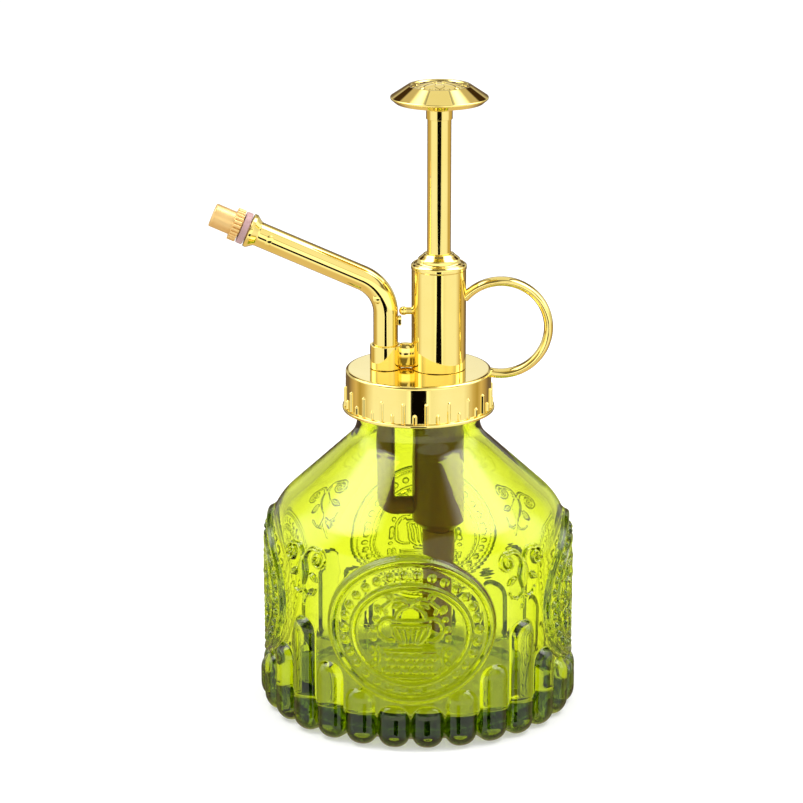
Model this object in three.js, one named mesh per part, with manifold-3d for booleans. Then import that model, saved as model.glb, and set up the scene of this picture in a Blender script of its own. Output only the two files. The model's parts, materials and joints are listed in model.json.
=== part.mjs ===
// A glass plant mister with a thumb plunger, a finger ring and a bent spout.
// Millimetres, +Z up. The origin is the centre of the bottle's flat foot.
// -X is the spout's side, +X the finger ring's side, and -Y the front.

import * as THREE from 'three';
import Module from 'manifold-3d';

const wasm = await Module();
wasm.setup();

// ---------------------------------------------------------------- driving dimensions

const GAP = 0.1; // between fixed pieces that touch on the real object
const SEGMENTS = 24; // round pieces
const FINE_SEGMENTS = 16; // pins and ports
const WIDE_SEGMENTS = 40; // the cap, with one rib to a segment
const CUT_MARGIN = 1; // how far a cutting body runs past what it cuts

// Bottle
const FOOT_R = 33;
const BODY_R = 39.4;
const SHOULDER_Z = 51.6;
const SHOULDER_FILLET = 16;
const NECK_BASE_Z = 73.4;
const NECK_FILLET = 7;
const NECK_R = 16;
const NECK_TOP_Z = 87;
const WALL = 3.2;
const NECK_BORE_R = 13.2;
const FLOOR_Z = 7;
const LOBE_COUNT = 28;
const COLUMNS_PER_LOBE = 3;
const LOBE_R = 41.7;
const LOBE_TOPS = [12, 15.8, 21.4, 31.4]; // outwards from a medallion's centre line
const PATTERN_TURN = THREE.MathUtils.degToRad(-3);
const MEDALLION_COUNT = 4;
const MEDALLION_HALF_WIDTH = 21.3;
const MEDALLION_HALF_HEIGHT = 19.8;
const MEDALLION_Z = 32;
const MEDALLION_RELIEF = 1.1;
const LOBE_END = 3.5; // length of a lobe's rounded end

// Screw closure
const THREAD_PITCH = 3;
const THREAD_TURNS = 1.25;
const THREAD_CREST_R = 16.9;
const THREAD_RIDGE_R = 0.8;
const THREAD_START_Z = 81.6;
const CAP_R = 18.9;
const CAP_BORE_R = 17.3;
const CAP_BOTTOM_Z = 79.3;
const CAP_TOP_Z = 90;
const CAP_PLATE_Z = 88.4;
const FLANGE_R = 19.76;
const FLANGE_HEIGHT = 0.9;
const RIB_COUNT = 40;
const RIB_WIDTH = 1.1;
const RIB_PROUD = 0.5;
const RIB_HEIGHTS = [2.5, 5.5];
const FIRST_RIB_ANGLE = THREE.MathUtils.degToRad(-3.1);
const GASKET_HEIGHT = 0.7;
const WASHER_HEIGHT = 0.45;

// Pump, on its own upright axis
const PUMP_X = 5.2;
const BARREL_R = 7.05;
const BARREL_BORE_R = 6.35;
const BARREL_TOP_Z = 118;
const GLAND_R = 5.6;
const GLAND_TOP_R = 3.8;
const GLAND_TOP_Z = 120.6;
const SEAL_SEAT_R = 4.4;
const SEAL_SEAT_DEPTH = 1.8;
const CYLINDER_R = 6.7;
const CYLINDER_UPPER_R = 6.2;
const CYLINDER_BORE_R = 5.25;
const CYLINDER_BOTTOM_Z = 45.8;
const CYLINDER_FLOOR_Z = 49.3;
const CYLINDER_TOP_Z = 112;
const COLLAR_R = 7.6;
const ROD_R = 3.07;
const ROD_BORE_R = 3.15;
const PISTON_BOTTOM_Z = 106.5;
const PISTON_TOP_Z = 112.1;
const PISTON_R = 5;
const PISTON_GROOVE_R = 4.1;
const SPRING_BOTTOM_Z = 50.6;
const SPRING_MEAN_R = 4.2;
const SPRING_WIRE_R = 0.4;
const SPRING_TURNS = 12;
const KNOB_R = 12.48;
const KNOB_RIM_R = 8.02;
const KNOB_BOTTOM_Z = 158.2;
const KNOB_EDGE_Z = 161;
const KNOB_TOP_Z = 164.2;
const KNOB_HUB_R = 5.6;
const KNOB_RECESS = 0.4;
const FERRULE_R = 3.4;
const FERRULE_Z = 155.5;

// Suction side
const TUBE_R = 4.1;
const TUBE_BORE_R = 3;
const TUBE_BOTTOM_Z = 17;
const TUBE_TOP_Z = 37.9;
const SPIGOT_R = 2.9; // the valve housing's end inside the tube
const SPIGOT_BOTTOM_Z = 33;
const HOUSING_TOP_R = 3.2;
const INLET_CHAMBER_R = 2.2;
const INLET_THROAT_R = 1.1;
const INLET_SEAT_Z = 42.8;
const INLET_BALL_R = 1.8;

// Outlet side, on the spout's upright axis
const SPOUT_X = -8.5;
const SPOUT_R = 3.2;
const SPOUT_BORE_R = 1.7;
const SPOUT_CLEARANCE = 0.15;
const SPOUT_BOTTOM_Z = 91.6;
const SPOUT_CORNER_Z = 111.33;
const SPOUT_BEND_R = 10;
const SPOUT_RISE = THREE.MathUtils.degToRad(23.6);
const DUCT_Z = 51.8;
const DUCT_R = 2.4;
const DUCT_BORE_R = 1.2;
const DUCT_BEND_R = 2.6;
const VALVE_BODY_Z = 79.6;
const RISER_TOP_Z = 81.5;
const OUTLET_SEAT_Z = 82.6;
const OUTLET_BALL_R = 1.6;
const OUTLET_THROAT_R = 1;
const OUTLET_CHAMBER_R = 2.1;
const VALVE_SPIGOT_R = 2.55;
const VALVE_COLLAR_R = 3.6;
const SOCKET_R = 4.07;
const SOCKET_TOP_Z = 96.3;
const BRIDGE_TOP_Z = 96.7;
const BRIDGE_WIDTH = 3.4;
const LUG_Z = [101.4, 103.8];
const LUG_END_X = -4.4;
const LUG_WIDTH = 1.8;
const PIN_X = -3.9;
const PIN_Z = 105.2;
const PIN_R = 0.95;
const PIN_BALL_R = 1.15;
const SEAL_GROOVE_R = 2.75;
const SEAL_GROOVE_Z = [93, 94.4];

// Distances along the spout's sloping run, from the corner of its centre line
const FLARE_START = 36.25;
const FLARE_END = 38.2;
const FLARE_R = 4.45;
const WASHER_END = 40.2;
const KNURL_START = 40.5;
const KNURL_END = 42.6;
const NOZZLE_TIP = 48.2;
const NOZZLE_R = 3.1;
const KNURL_R = 4.3;
const KNURL_TEETH = 24;
const KNURL_DEPTH = 0.35;
const STEM_START = 33;
const STEM_END = 44;
const STEM_R = 2.2;
const STEM_BORE_R = 1;
const CHAMBER_R = 2.4;
const CHAMBER_END = 47;
const ORIFICE_R = 0.45;
const SWIRL_R = 1.95;

// Finger ring
const RING_CENTRE = new THREE.Vector3(21.25, 0, 100.75);
const RING_R = 13.5;
const RING_THICKNESS = 2.4;
const RING_WIDTH = 3.9;
const RING_ENDS_DEG = [140, -106]; // from the barrel's side over the top to the cap's edge

// ---------------------------------------------------------------- materials

const surface = (color, roughness, metalness, extra = {}) =>
  () => new THREE.MeshStandardMaterial({ color, roughness, metalness, ...extra });

const gold = surface(0xe0b040, 0.12, 1);
const brass = surface(0xd8ac66, 0.4, 1);
const steel = surface(0xc8ccd0, 0.25, 1);
const glass = surface(0xa8c81e, 0.04, 0, { transparent: true, opacity: 0.4 });
const amber = surface(0x8a6420, 0.35, 0);
const white = surface(0xe8e6de, 0.45, 0);
const rubber = surface(0x2c2b2a, 0.7, 0);
const rose = surface(0xcda5a5, 0.5, 0);

// ---------------------------------------------------------------- geometry helpers

// One closed body: shared corners merged, flat triangles dropped, faces turned out.
function closedGeometry(geometry) {
  const source = geometry.index ? geometry.toNonIndexed() : geometry;
  const position = source.getAttribute('position');
  const seen = new Map();
  const vertices = [];
  const corners = [];
  for (let i = 0; i < position.count; i += 1) {
    const point = [position.getX(i), position.getY(i), position.getZ(i)];
    const key = point.map((value) => Math.round(value * 1e4)).join();
    if (!seen.has(key)) {
      seen.set(key, vertices.length / 3);
      vertices.push(...point);
    }
    corners.push(seen.get(key));
  }
  const triangles = [];
  let volume = 0;
  const at = (index) => new THREE.Vector3().fromArray(vertices, index * 3);
  for (let i = 0; i < corners.length; i += 3) {
    const [a, b, c] = corners.slice(i, i + 3);
    if (a !== b && b !== c && c !== a) {
      triangles.push(a, b, c);
      volume += at(a).dot(at(b).cross(at(c)));
    }
  }
  const closed = new THREE.BufferGeometry();
  closed.setAttribute('position', new THREE.Float32BufferAttribute(vertices, 3));
  closed.setIndex(volume < 0 ? triangles.reverse() : triangles);
  return closed;
}

function toManifold(geometry) {
  const closed = closedGeometry(geometry);
  const vertProperties = new Float32Array(closed.getAttribute('position').array);
  const triVerts = new Uint32Array(closed.index.array);
  return new wasm.Manifold(new wasm.Mesh({ numProp: 3, vertProperties, triVerts }));
}

function fromManifold(manifold) {
  const mesh = manifold.getMesh();
  const geometry = new THREE.BufferGeometry();
  geometry.setAttribute('position', new THREE.BufferAttribute(mesh.vertProperties, 3));
  geometry.setIndex(new THREE.BufferAttribute(mesh.triVerts, 1));
  return geometry;
}

const join = (first, ...others) =>
  fromManifold(others.reduce((whole, other) => whole.add(toManifold(other)), toManifold(first)));

const cut = (first, ...others) =>
  fromManifold(others.reduce((whole, other) => whole.subtract(toManifold(other)), toManifold(first)));

const common = (first, second) => fromManifold(toManifold(first).intersect(toManifold(second)));

// Points of a line whose corners [across, up, fillet radius] are rounded off by arcs.
function roundedLine(corners, arcSteps = 4) {
  return corners.flatMap(([x, y, fillet], i) => {
    const corner = new THREE.Vector2(x, y);
    if (!fillet) {
      return [corner];
    }
    const back = new THREE.Vector2(...corners[i - 1].slice(0, 2)).sub(corner).normalize();
    const ahead = new THREE.Vector2(...corners[i + 1].slice(0, 2)).sub(corner).normalize();
    const half = Math.acos(back.dot(ahead)) / 2;
    const centre = back.clone().add(ahead).setLength(fillet / Math.sin(half)).add(corner);
    const start = back.clone().multiplyScalar(fillet / Math.tan(half)).add(corner).sub(centre);
    const turn = (Math.PI - 2 * half) * Math.sign(back.cross(ahead));
    const points = [];
    for (let step = 0; step <= arcSteps; step += 1) {
      const angle = -turn * (step / arcSteps);
      points.push(start.clone().rotateAround(new THREE.Vector2(), angle).add(centre));
    }
    return points;
  });
}

// A solid of revolution about Z. The outline starts and ends on the axis.
function turned(corners, segments = SEGMENTS, arcSteps = 4) {
  const outline = roundedLine(corners, arcSteps);
  return closedGeometry(new THREE.LatheGeometry(outline, segments).rotateX(Math.PI / 2));
}

// A ring or sleeve of revolution about Z. The outline is closed here.
function turnedRing(corners, segments = SEGMENTS, arcSteps = 3) {
  const outline = roundedLine(corners, arcSteps);
  outline.push(outline[0].clone());
  return closedGeometry(new THREE.LatheGeometry(outline, segments).rotateX(Math.PI / 2));
}

const disc = (radius, low, high, segments = SEGMENTS) =>
  turned([[0, low], [radius, low], [radius, high], [0, high]], segments);

const sleeve = (radius, bore, low, high, segments = SEGMENTS) =>
  turnedRing([[bore, low], [radius, low], [radius, high], [bore, high]], segments);

const block = (low, high) => {
  const size = new THREE.Vector3().subVectors(high, low);
  const box = new THREE.BoxGeometry(size.x, size.y, size.z);
  return box.translate(...new THREE.Vector3().addVectors(low, high).divideScalar(2).toArray());
};

const ball = (radius) => closedGeometry(new THREE.SphereGeometry(radius, 12, 8).rotateX(Math.PI / 2));

function ellipseShape(halfWidth, halfHeight, sides) {
  const shape = new THREE.Shape();
  for (let i = 0; i < sides; i += 1) {
    const angle = (i / sides) * 2 * Math.PI;
    const point = [halfWidth * Math.cos(angle), halfHeight * Math.sin(angle)];
    if (i === 0) {
      shape.moveTo(...point);
    } else {
      shape.lineTo(...point);
    }
  }
  return shape;
}

function swept(shape, path, steps) {
  const options = { steps, bevelEnabled: false, extrudePath: path };
  return closedGeometry(new THREE.ExtrudeGeometry(shape, options));
}

// A curve whose evenly spaced points follow its own parameter.
class PlainCurve extends THREE.Curve {
  getUtoTmapping(u) {
    return u;
  }
}

// Two straight runs and the bend between them.
class Elbow extends PlainCurve {
  constructor(start, corner, end, radius) {
    super();
    const back = start.clone().sub(corner).normalize();
    const ahead = end.clone().sub(corner).normalize();
    const half = back.angleTo(ahead) / 2;
    this.start = start;
    this.end = end;
    this.turn = Math.PI - 2 * half;
    this.centre = back.clone().add(ahead).setLength(radius / Math.sin(half)).add(corner);
    this.bendStart = back.clone().multiplyScalar(radius / Math.tan(half)).add(corner);
    this.bendEnd = ahead.clone().multiplyScalar(radius / Math.tan(half)).add(corner);
    this.axis = ahead.clone().cross(back).normalize();
  }

  getPoint(t) {
    const straight = 0.15; // share of the parameter given to each straight run
    if (t <= straight) {
      return this.start.clone().lerp(this.bendStart, t / straight);
    }
    if (t >= 1 - straight) {
      return this.end.clone().lerp(this.bendEnd, (1 - t) / straight);
    }
    const share = (t - straight) / (1 - 2 * straight);
    const arm = this.bendStart.clone().sub(this.centre);
    return arm.applyAxisAngle(this.axis, this.turn * share).add(this.centre);
  }
}

// A right-handed helix about Z.
class Helix extends PlainCurve {
  constructor(radius, low, rise, turns) {
    super();
    Object.assign(this, { radius, low, rise, turns });
  }

  getPoint(t) {
    const angle = 2 * Math.PI * this.turns * t;
    const across = [Math.cos(angle), Math.sin(angle)].map((value) => value * this.radius);
    return new THREE.Vector3(...across, this.low + this.rise * t);
  }
}

// Part of a circle in the XZ plane, from one angle to another.
class Arc extends PlainCurve {
  constructor(centre, radius, from, to) {
    super();
    Object.assign(this, { centre, radius, from, to });
  }

  getPoint(t) {
    const angle = THREE.MathUtils.degToRad(this.from + (this.to - this.from) * t);
    const arm = new THREE.Vector3(Math.cos(angle), 0, Math.sin(angle));
    return arm.multiplyScalar(this.radius).add(this.centre);
  }
}

const coil = (radius, wire, low, high, turns, stepsPerTurn) => {
  const path = new Helix(radius, low + wire, high - low - 2 * wire, turns);
  return swept(ellipseShape(wire, wire, 4), path, Math.round(turns * stepsPerTurn));
};

// Height above its seat's lower edge at which a ball sits in a 45 degree cone, less the gap.
const seatedBall = (radius, throat) => radius * Math.SQRT2 - throat + 0.06;

// ---------------------------------------------------------------- bottle

// How far a lobe's rounded ridge stands out, by angle and height.
function lobeRelief(angle, z) {
  const pitch = (2 * Math.PI) / LOBE_COUNT;
  const lobesPerMedallion = LOBE_COUNT / MEDALLION_COUNT;
  const place = THREE.MathUtils.euclideanModulo(angle / pitch, lobesPerMedallion);
  const slot = Math.floor(place);
  const top = LOBE_TOPS[Math.min(slot, lobesPerMedallion - 1 - slot)];
  const across = 2 * (place - slot) - 1;
  const below = THREE.MathUtils.clamp((top - z) / LOBE_END, 0, 1);
  const above = THREE.MathUtils.clamp(z / LOBE_END, 0, 1);
  const ends = Math.sqrt(1 - (1 - below) ** 2) * Math.sqrt(1 - (1 - above) ** 2);
  return (LOBE_R - BODY_R) * Math.sqrt(Math.max(0, 1 - across ** 2)) * ends;
}

function bottleOutside() {
  const columns = LOBE_COUNT * COLUMNS_PER_LOBE;
  const lobeRows = [4.5, 10, 13, 17, 21.4, 26, 31.4].map((z) => [BODY_R, z]);
  const outline = roundedLine([
    [FOOT_R, 0],
    [37.5, 1.8],
    ...lobeRows,
    [BODY_R, SHOULDER_Z, SHOULDER_FILLET],
    [NECK_R, NECK_BASE_Z, NECK_FILLET],
    [NECK_R, NECK_TOP_Z],
  ], 3);
  const vertices = [0, 0, 0];
  outline.forEach(({ x: radius, y: z }) => {
    for (let column = 0; column < columns; column += 1) {
      const turn = (column / columns) * 2 * Math.PI;
      const out = radius + lobeRelief(turn, z);
      const angle = turn + PATTERN_TURN - Math.PI / 2;
      vertices.push(out * Math.cos(angle), out * Math.sin(angle), z);
    }
  });
  vertices.push(0, 0, NECK_TOP_Z);
  const lastCentre = vertices.length / 3 - 1;
  const rows = outline.length;
  const index = [];
  const at = (row, column) => 1 + row * columns + (column % columns);
  for (let column = 0; column < columns; column += 1) {
    index.push(0, at(0, column + 1), at(0, column));
    index.push(lastCentre, at(rows - 1, column), at(rows - 1, column + 1));
    for (let row = 0; row < rows - 1; row += 1) {
      index.push(at(row, column), at(row, column + 1), at(row + 1, column + 1));
      index.push(at(row, column), at(row + 1, column + 1), at(row + 1, column));
    }
  }
  const geometry = new THREE.BufferGeometry();
  geometry.setAttribute('position', new THREE.Float32BufferAttribute(vertices, 3));
  geometry.setIndex(index);
  return geometry;
}

// The body's profile moved outwards, for what is raised on its surface.
function raisedBody(relief) {
  const cornerShift = relief * Math.tan(Math.atan2(BODY_R - NECK_R, NECK_BASE_Z - SHOULDER_Z) / 2);
  return turned([
    [0, 1],
    [BODY_R + relief, 1],
    [BODY_R + relief, SHOULDER_Z + cornerShift, SHOULDER_FILLET + relief],
    [NECK_R + relief, NECK_BASE_Z + cornerShift],
    [0, NECK_BASE_Z + cornerShift],
  ], 48, 3);
}

// A raised oval plate that follows the body, facing the front before it is turned.
function medallion(turn) {
  const depth = 20;
  const options = { depth, bevelEnabled: false, steps: 1 };
  const oval = ellipseShape(MEDALLION_HALF_WIDTH, MEDALLION_HALF_HEIGHT, 28);
  const prism = new THREE.ExtrudeGeometry(oval, options).rotateX(Math.PI / 2);
  prism.translate(0, depth - BODY_R - MEDALLION_RELIEF, MEDALLION_Z);
  return common(prism, raisedBody(MEDALLION_RELIEF)).rotateZ(turn);
}

function neckThread() {
  const rise = THREAD_PITCH * THREAD_TURNS;
  const path = new Helix(THREAD_CREST_R - THREAD_RIDGE_R, THREAD_START_Z, rise, THREAD_TURNS);
  return swept(ellipseShape(THREAD_RIDGE_R, THREAD_RIDGE_R, 6), path, 20);
}

function glassBottle() {
  const inside = turned([
    [0, FLOOR_Z],
    [BODY_R - WALL, FLOOR_Z, 6],
    [BODY_R - WALL, SHOULDER_Z - 1.2, SHOULDER_FILLET - WALL],
    [NECK_BORE_R, NECK_BASE_Z - 1.4, NECK_FILLET + WALL],
    [NECK_BORE_R, NECK_TOP_Z + CUT_MARGIN],
    [0, NECK_TOP_Z + CUT_MARGIN],
  ], 32, 2);
  const quarters = Array.from({ length: MEDALLION_COUNT }, (_, i) => (i / MEDALLION_COUNT) * 2 * Math.PI);
  const medallions = quarters.map((turn) => medallion(turn + PATTERN_TURN));
  return cut(join(bottleOutside(), ...medallions, neckThread()), inside);
}

// ---------------------------------------------------------------- closure

function screwCap() {
  const shell = turned([
    [0, CAP_PLATE_Z],
    [CAP_BORE_R, CAP_PLATE_Z],
    [CAP_BORE_R, CAP_BOTTOM_Z],
    [FLANGE_R, CAP_BOTTOM_Z],
    [FLANGE_R, CAP_BOTTOM_Z + FLANGE_HEIGHT],
    [CAP_R, CAP_BOTTOM_Z + FLANGE_HEIGHT],
    [CAP_R, CAP_TOP_Z, 0.6],
    [0, CAP_TOP_Z],
  ], WIDE_SEGMENTS, 2);
  const ribs = Array.from({ length: RIB_COUNT }, (_, i) => {
    const base = CAP_BOTTOM_Z + FLANGE_HEIGHT / 2;
    const height = FLANGE_HEIGHT / 2 + RIB_HEIGHTS[i % RIB_HEIGHTS.length];
    const low = new THREE.Vector3(-RIB_WIDTH / 2, -(CAP_R + RIB_PROUD), base);
    const high = new THREE.Vector3(RIB_WIDTH / 2, -(CAP_R - 0.5), base + height);
    return block(low, high).rotateZ(FIRST_RIB_ANGLE + (i / RIB_COUNT) * 2 * Math.PI);
  });
  const hole = (radius, x) =>
    disc(radius, CAP_PLATE_Z - CUT_MARGIN, CAP_TOP_Z + CUT_MARGIN).translate(x, 0, 0);
  return cut(join(shell, ...ribs), hole(BARREL_BORE_R, PUMP_X), hole(SPOUT_R + SPOUT_CLEARANCE, SPOUT_X));
}

// A flat ring over the neck's mouth.
const neckRing = (low, height) => sleeve(NECK_R + 0.6, NECK_BORE_R + 0.3, low, low + height);

const neckGasket = () => neckRing(NECK_TOP_Z + GAP / 2, GASKET_HEIGHT);

const slipWasher = () => neckRing(NECK_TOP_Z + 1.5 * GAP + GASKET_HEIGHT, WASHER_HEIGHT);

// ---------------------------------------------------------------- pump

const pumpBarrel = () => turnedRing([
  [BARREL_BORE_R, CAP_TOP_Z + GAP],
  [BARREL_R, CAP_TOP_Z + GAP],
  [BARREL_R, BARREL_TOP_Z - 0.5],
  [BARREL_R - 0.35, BARREL_TOP_Z],
  [BARREL_BORE_R, BARREL_TOP_Z],
]);

const GLAND_BOTTOM_Z = CYLINDER_TOP_Z + 0.4;

const glandNut = () => turnedRing([
  [CYLINDER_UPPER_R, GLAND_BOTTOM_Z],
  [CYLINDER_UPPER_R, BARREL_TOP_Z],
  [GLAND_R, BARREL_TOP_Z + 0.2],
  [GLAND_R - 0.2, GLAND_TOP_Z - 1.4],
  [GLAND_TOP_R + 0.6, GLAND_TOP_Z - 0.6],
  [GLAND_TOP_R, GLAND_TOP_Z],
  [ROD_BORE_R, GLAND_TOP_Z],
  [ROD_BORE_R, GLAND_BOTTOM_Z + SEAL_SEAT_DEPTH],
  [SEAL_SEAT_R, GLAND_BOTTOM_Z + SEAL_SEAT_DEPTH],
  [SEAL_SEAT_R, GLAND_BOTTOM_Z],
]);

const rodSeal = () => {
  const clearance = 2 * GAP;
  const [low, high] = [GLAND_BOTTOM_Z + clearance, GLAND_BOTTOM_Z + SEAL_SEAT_DEPTH - clearance];
  return sleeve(SEAL_SEAT_R - 0.15, ROD_R + 0.03, low, high);
};

function pumpCylinder() {
  const collarLow = CAP_PLATE_Z - 2.2;
  const collarHigh = CAP_PLATE_Z - 0.5;
  const throatR = 1.5;
  const footR = 4.3;
  const footTaper = 2.2;
  const socketR = HOUSING_TOP_R + GAP;
  const socketTop = CYLINDER_FLOOR_Z - 1.8;
  const body = turnedRing([
    [throatR, CYLINDER_FLOOR_Z],
    [CYLINDER_BORE_R, CYLINDER_FLOOR_Z],
    [CYLINDER_BORE_R, CYLINDER_TOP_Z],
    [CYLINDER_UPPER_R, CYLINDER_TOP_Z],
    [CYLINDER_UPPER_R, collarHigh],
    [COLLAR_R, collarHigh],
    [COLLAR_R, collarLow],
    [CYLINDER_R, collarLow],
    [CYLINDER_R, CYLINDER_BOTTOM_Z + footTaper],
    [footR, CYLINDER_BOTTOM_Z],
    [socketR, CYLINDER_BOTTOM_Z],
    [socketR, socketTop],
    [throatR, socketTop],
  ]);
  const port = disc(DUCT_BORE_R, 0, CYLINDER_R + CUT_MARGIN, FINE_SEGMENTS).rotateY(-Math.PI / 2);
  return cut(body, port.translate(0, 0, DUCT_Z));
}

const cylinderGasket = () =>
  sleeve(COLLAR_R, CYLINDER_UPPER_R + GAP, CAP_PLATE_Z - 0.45, CAP_PLATE_Z - GAP / 2);

const springSeat = () =>
  sleeve(CYLINDER_BORE_R - 2 * GAP, 1.5, CYLINDER_FLOOR_Z + GAP, SPRING_BOTTOM_Z - 2 * GAP);

const returnSpring = () =>
  coil(SPRING_MEAN_R, SPRING_WIRE_R, SPRING_BOTTOM_Z, PISTON_BOTTOM_Z - 0.2, SPRING_TURNS, 6);

const GROOVE_LOW_Z = PISTON_BOTTOM_Z + 1.6;
const GROOVE_HIGH_Z = PISTON_BOTTOM_Z + 3.2;
const PISTON_FLOOR_Z = PISTON_BOTTOM_Z + 0.7;

const piston = () => turned([
  [0, PISTON_BOTTOM_Z],
  [PISTON_R, PISTON_BOTTOM_Z],
  [PISTON_R, GROOVE_LOW_Z],
  [PISTON_GROOVE_R, GROOVE_LOW_Z],
  [PISTON_GROOVE_R, GROOVE_HIGH_Z],
  [PISTON_R, GROOVE_HIGH_Z],
  [PISTON_R, PISTON_TOP_Z],
  [ROD_BORE_R, PISTON_TOP_Z],
  [ROD_BORE_R, PISTON_FLOOR_Z],
  [0, PISTON_FLOOR_Z],
]);

const pistonSeal = () => turnedRing([
  [PISTON_GROOVE_R + 0.05, GROOVE_LOW_Z + GAP],
  [PISTON_R - GAP, GROOVE_LOW_Z + GAP],
  [CYLINDER_BORE_R - 0.07, (GROOVE_LOW_Z + GROOVE_HIGH_Z) / 2],
  [PISTON_R - GAP, GROOVE_HIGH_Z - GAP],
  [PISTON_GROOVE_R + 0.05, GROOVE_HIGH_Z - GAP],
]);

const plungerRod = () => disc(ROD_R, PISTON_FLOOR_Z + GAP, KNOB_EDGE_Z + GAP);

const knobFerrule = () => turnedRing([
  [ROD_BORE_R, FERRULE_Z],
  [FERRULE_R, FERRULE_Z],
  [FERRULE_R, KNOB_BOTTOM_Z - GAP],
  [ROD_BORE_R, KNOB_BOTTOM_Z - GAP],
]);

function knob() {
  const socketTop = KNOB_EDGE_Z + 0.4;
  const halfEdge = 0.2;
  const rimWidth = 0.6;
  return turned([
    [0, socketTop],
    [ROD_BORE_R, socketTop],
    [ROD_BORE_R, KNOB_BOTTOM_Z],
    [KNOB_HUB_R - 0.8, KNOB_BOTTOM_Z],
    [KNOB_HUB_R, KNOB_BOTTOM_Z + 1.1],
    [2 * KNOB_HUB_R, KNOB_BOTTOM_Z + 1.5],
    [KNOB_R, KNOB_EDGE_Z - halfEdge],
    [KNOB_R, KNOB_EDGE_Z + halfEdge],
    [KNOB_RIM_R, KNOB_TOP_Z],
    [KNOB_RIM_R - rimWidth, KNOB_TOP_Z],
    [KNOB_RIM_R - 1.5 * rimWidth, KNOB_TOP_Z - KNOB_RECESS],
    [0, KNOB_TOP_Z - KNOB_RECESS],
  ], 32);
}

// ---------------------------------------------------------------- suction side

function inletValveHousing() {
  const top = CYLINDER_FLOOR_Z - 1.9;
  return turnedRing([
    [INLET_THROAT_R, SPIGOT_BOTTOM_Z],
    [SPIGOT_R, SPIGOT_BOTTOM_Z],
    [SPIGOT_R, TUBE_TOP_Z + GAP],
    [TUBE_R, TUBE_TOP_Z + GAP],
    [TUBE_R, CYLINDER_BOTTOM_Z - GAP],
    [HOUSING_TOP_R, CYLINDER_BOTTOM_Z - GAP],
    [HOUSING_TOP_R, top],
    [INLET_CHAMBER_R, top],
    [INLET_CHAMBER_R, INLET_SEAT_Z + INLET_CHAMBER_R - INLET_THROAT_R],
    [INLET_THROAT_R, INLET_SEAT_Z],
  ]);
}

// The tube's foot is cut at a slant, so it can't seal itself against the bottle's floor.
function suctionTube() {
  const tube = sleeve(TUBE_R, TUBE_BORE_R, TUBE_BOTTOM_Z, TUBE_TOP_Z);
  const slant = THREE.MathUtils.degToRad(25);
  const wedge = new THREE.BoxGeometry(20, 20, 10).translate(0, 0, -5).rotateY(slant);
  return cut(tube, wedge.translate(0, 0, TUBE_BOTTOM_Z + TUBE_R * Math.tan(slant)));
}

// ---------------------------------------------------------------- outlet side

function riserPipe() {
  const corner = new THREE.Vector3(SPOUT_X, 0, DUCT_Z);
  const pipe = (radius, extra) => {
    const start = new THREE.Vector3(PUMP_X - CYLINDER_R - GAP + extra, 0, DUCT_Z);
    const end = new THREE.Vector3(SPOUT_X, 0, RISER_TOP_Z + extra);
    return swept(ellipseShape(radius, radius, 12), new Elbow(start, corner, end, DUCT_BEND_R), 6);
  };
  const reach = 2 * DUCT_R;
  const wall = disc(CYLINDER_R + GAP, DUCT_Z - reach, DUCT_Z + reach).translate(PUMP_X, 0, 0);
  const top = disc(reach, RISER_TOP_Z, RISER_TOP_Z + 2 * CUT_MARGIN).translate(SPOUT_X, 0, 0);
  return cut(pipe(DUCT_R, 0.6), wall, top, pipe(DUCT_BORE_R, 2 * CUT_MARGIN));
}

const outletValveBody = () => turnedRing([
  [OUTLET_THROAT_R, RISER_TOP_Z + GAP],
  [VALVE_SPIGOT_R, RISER_TOP_Z + GAP],
  [VALVE_SPIGOT_R, VALVE_BODY_Z],
  [VALVE_COLLAR_R, VALVE_BODY_Z],
  [VALVE_COLLAR_R, CAP_PLATE_Z - GAP],
  [SPOUT_R, CAP_PLATE_Z - GAP],
  [SPOUT_R, SPOUT_BOTTOM_Z - GAP],
  [OUTLET_CHAMBER_R, SPOUT_BOTTOM_Z - GAP],
  [OUTLET_CHAMBER_R, OUTLET_SEAT_Z + OUTLET_CHAMBER_R - OUTLET_THROAT_R],
  [OUTLET_THROAT_R, OUTLET_SEAT_Z],
]);

const outletValveSpring = () => {
  const meanR = 1.6;
  const wireR = 0.18;
  const low = OUTLET_SEAT_Z + seatedBall(OUTLET_BALL_R, OUTLET_THROAT_R) + OUTLET_BALL_R + GAP;
  return coil(meanR, wireR, low, SPOUT_BOTTOM_Z - GAP, 4, 6);
};

const outletSocket = () => sleeve(SOCKET_R, SPOUT_R + SPOUT_CLEARANCE, CAP_TOP_Z + GAP, SOCKET_TOP_Z);

// The web that ties the socket to the barrel.
function outletBridge() {
  const low = new THREE.Vector3(SPOUT_X, -BRIDGE_WIDTH / 2, CAP_TOP_Z + GAP);
  const high = new THREE.Vector3(PUMP_X, BRIDGE_WIDTH / 2, BRIDGE_TOP_Z);
  const around = (radius, x) =>
    disc(radius + GAP, CAP_TOP_Z - CUT_MARGIN, BRIDGE_TOP_Z + CUT_MARGIN).translate(x, 0, 0);
  return cut(block(low, high), around(SOCKET_R, SPOUT_X), around(BARREL_R, PUMP_X));
}

const spoutCorner = new THREE.Vector3(SPOUT_X, 0, SPOUT_CORNER_Z);
const spoutDirection = new THREE.Vector3(-Math.cos(SPOUT_RISE), 0, Math.sin(SPOUT_RISE));
const alongSpout = (distance) => spoutDirection.clone().multiplyScalar(distance).add(spoutCorner);

// Puts a piece made about Z onto the spout's sloping run, with z as the distance from the corner.
const ontoSpout = (geometry) =>
  geometry.rotateY(SPOUT_RISE - Math.PI / 2).translate(...spoutCorner.toArray());

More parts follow.
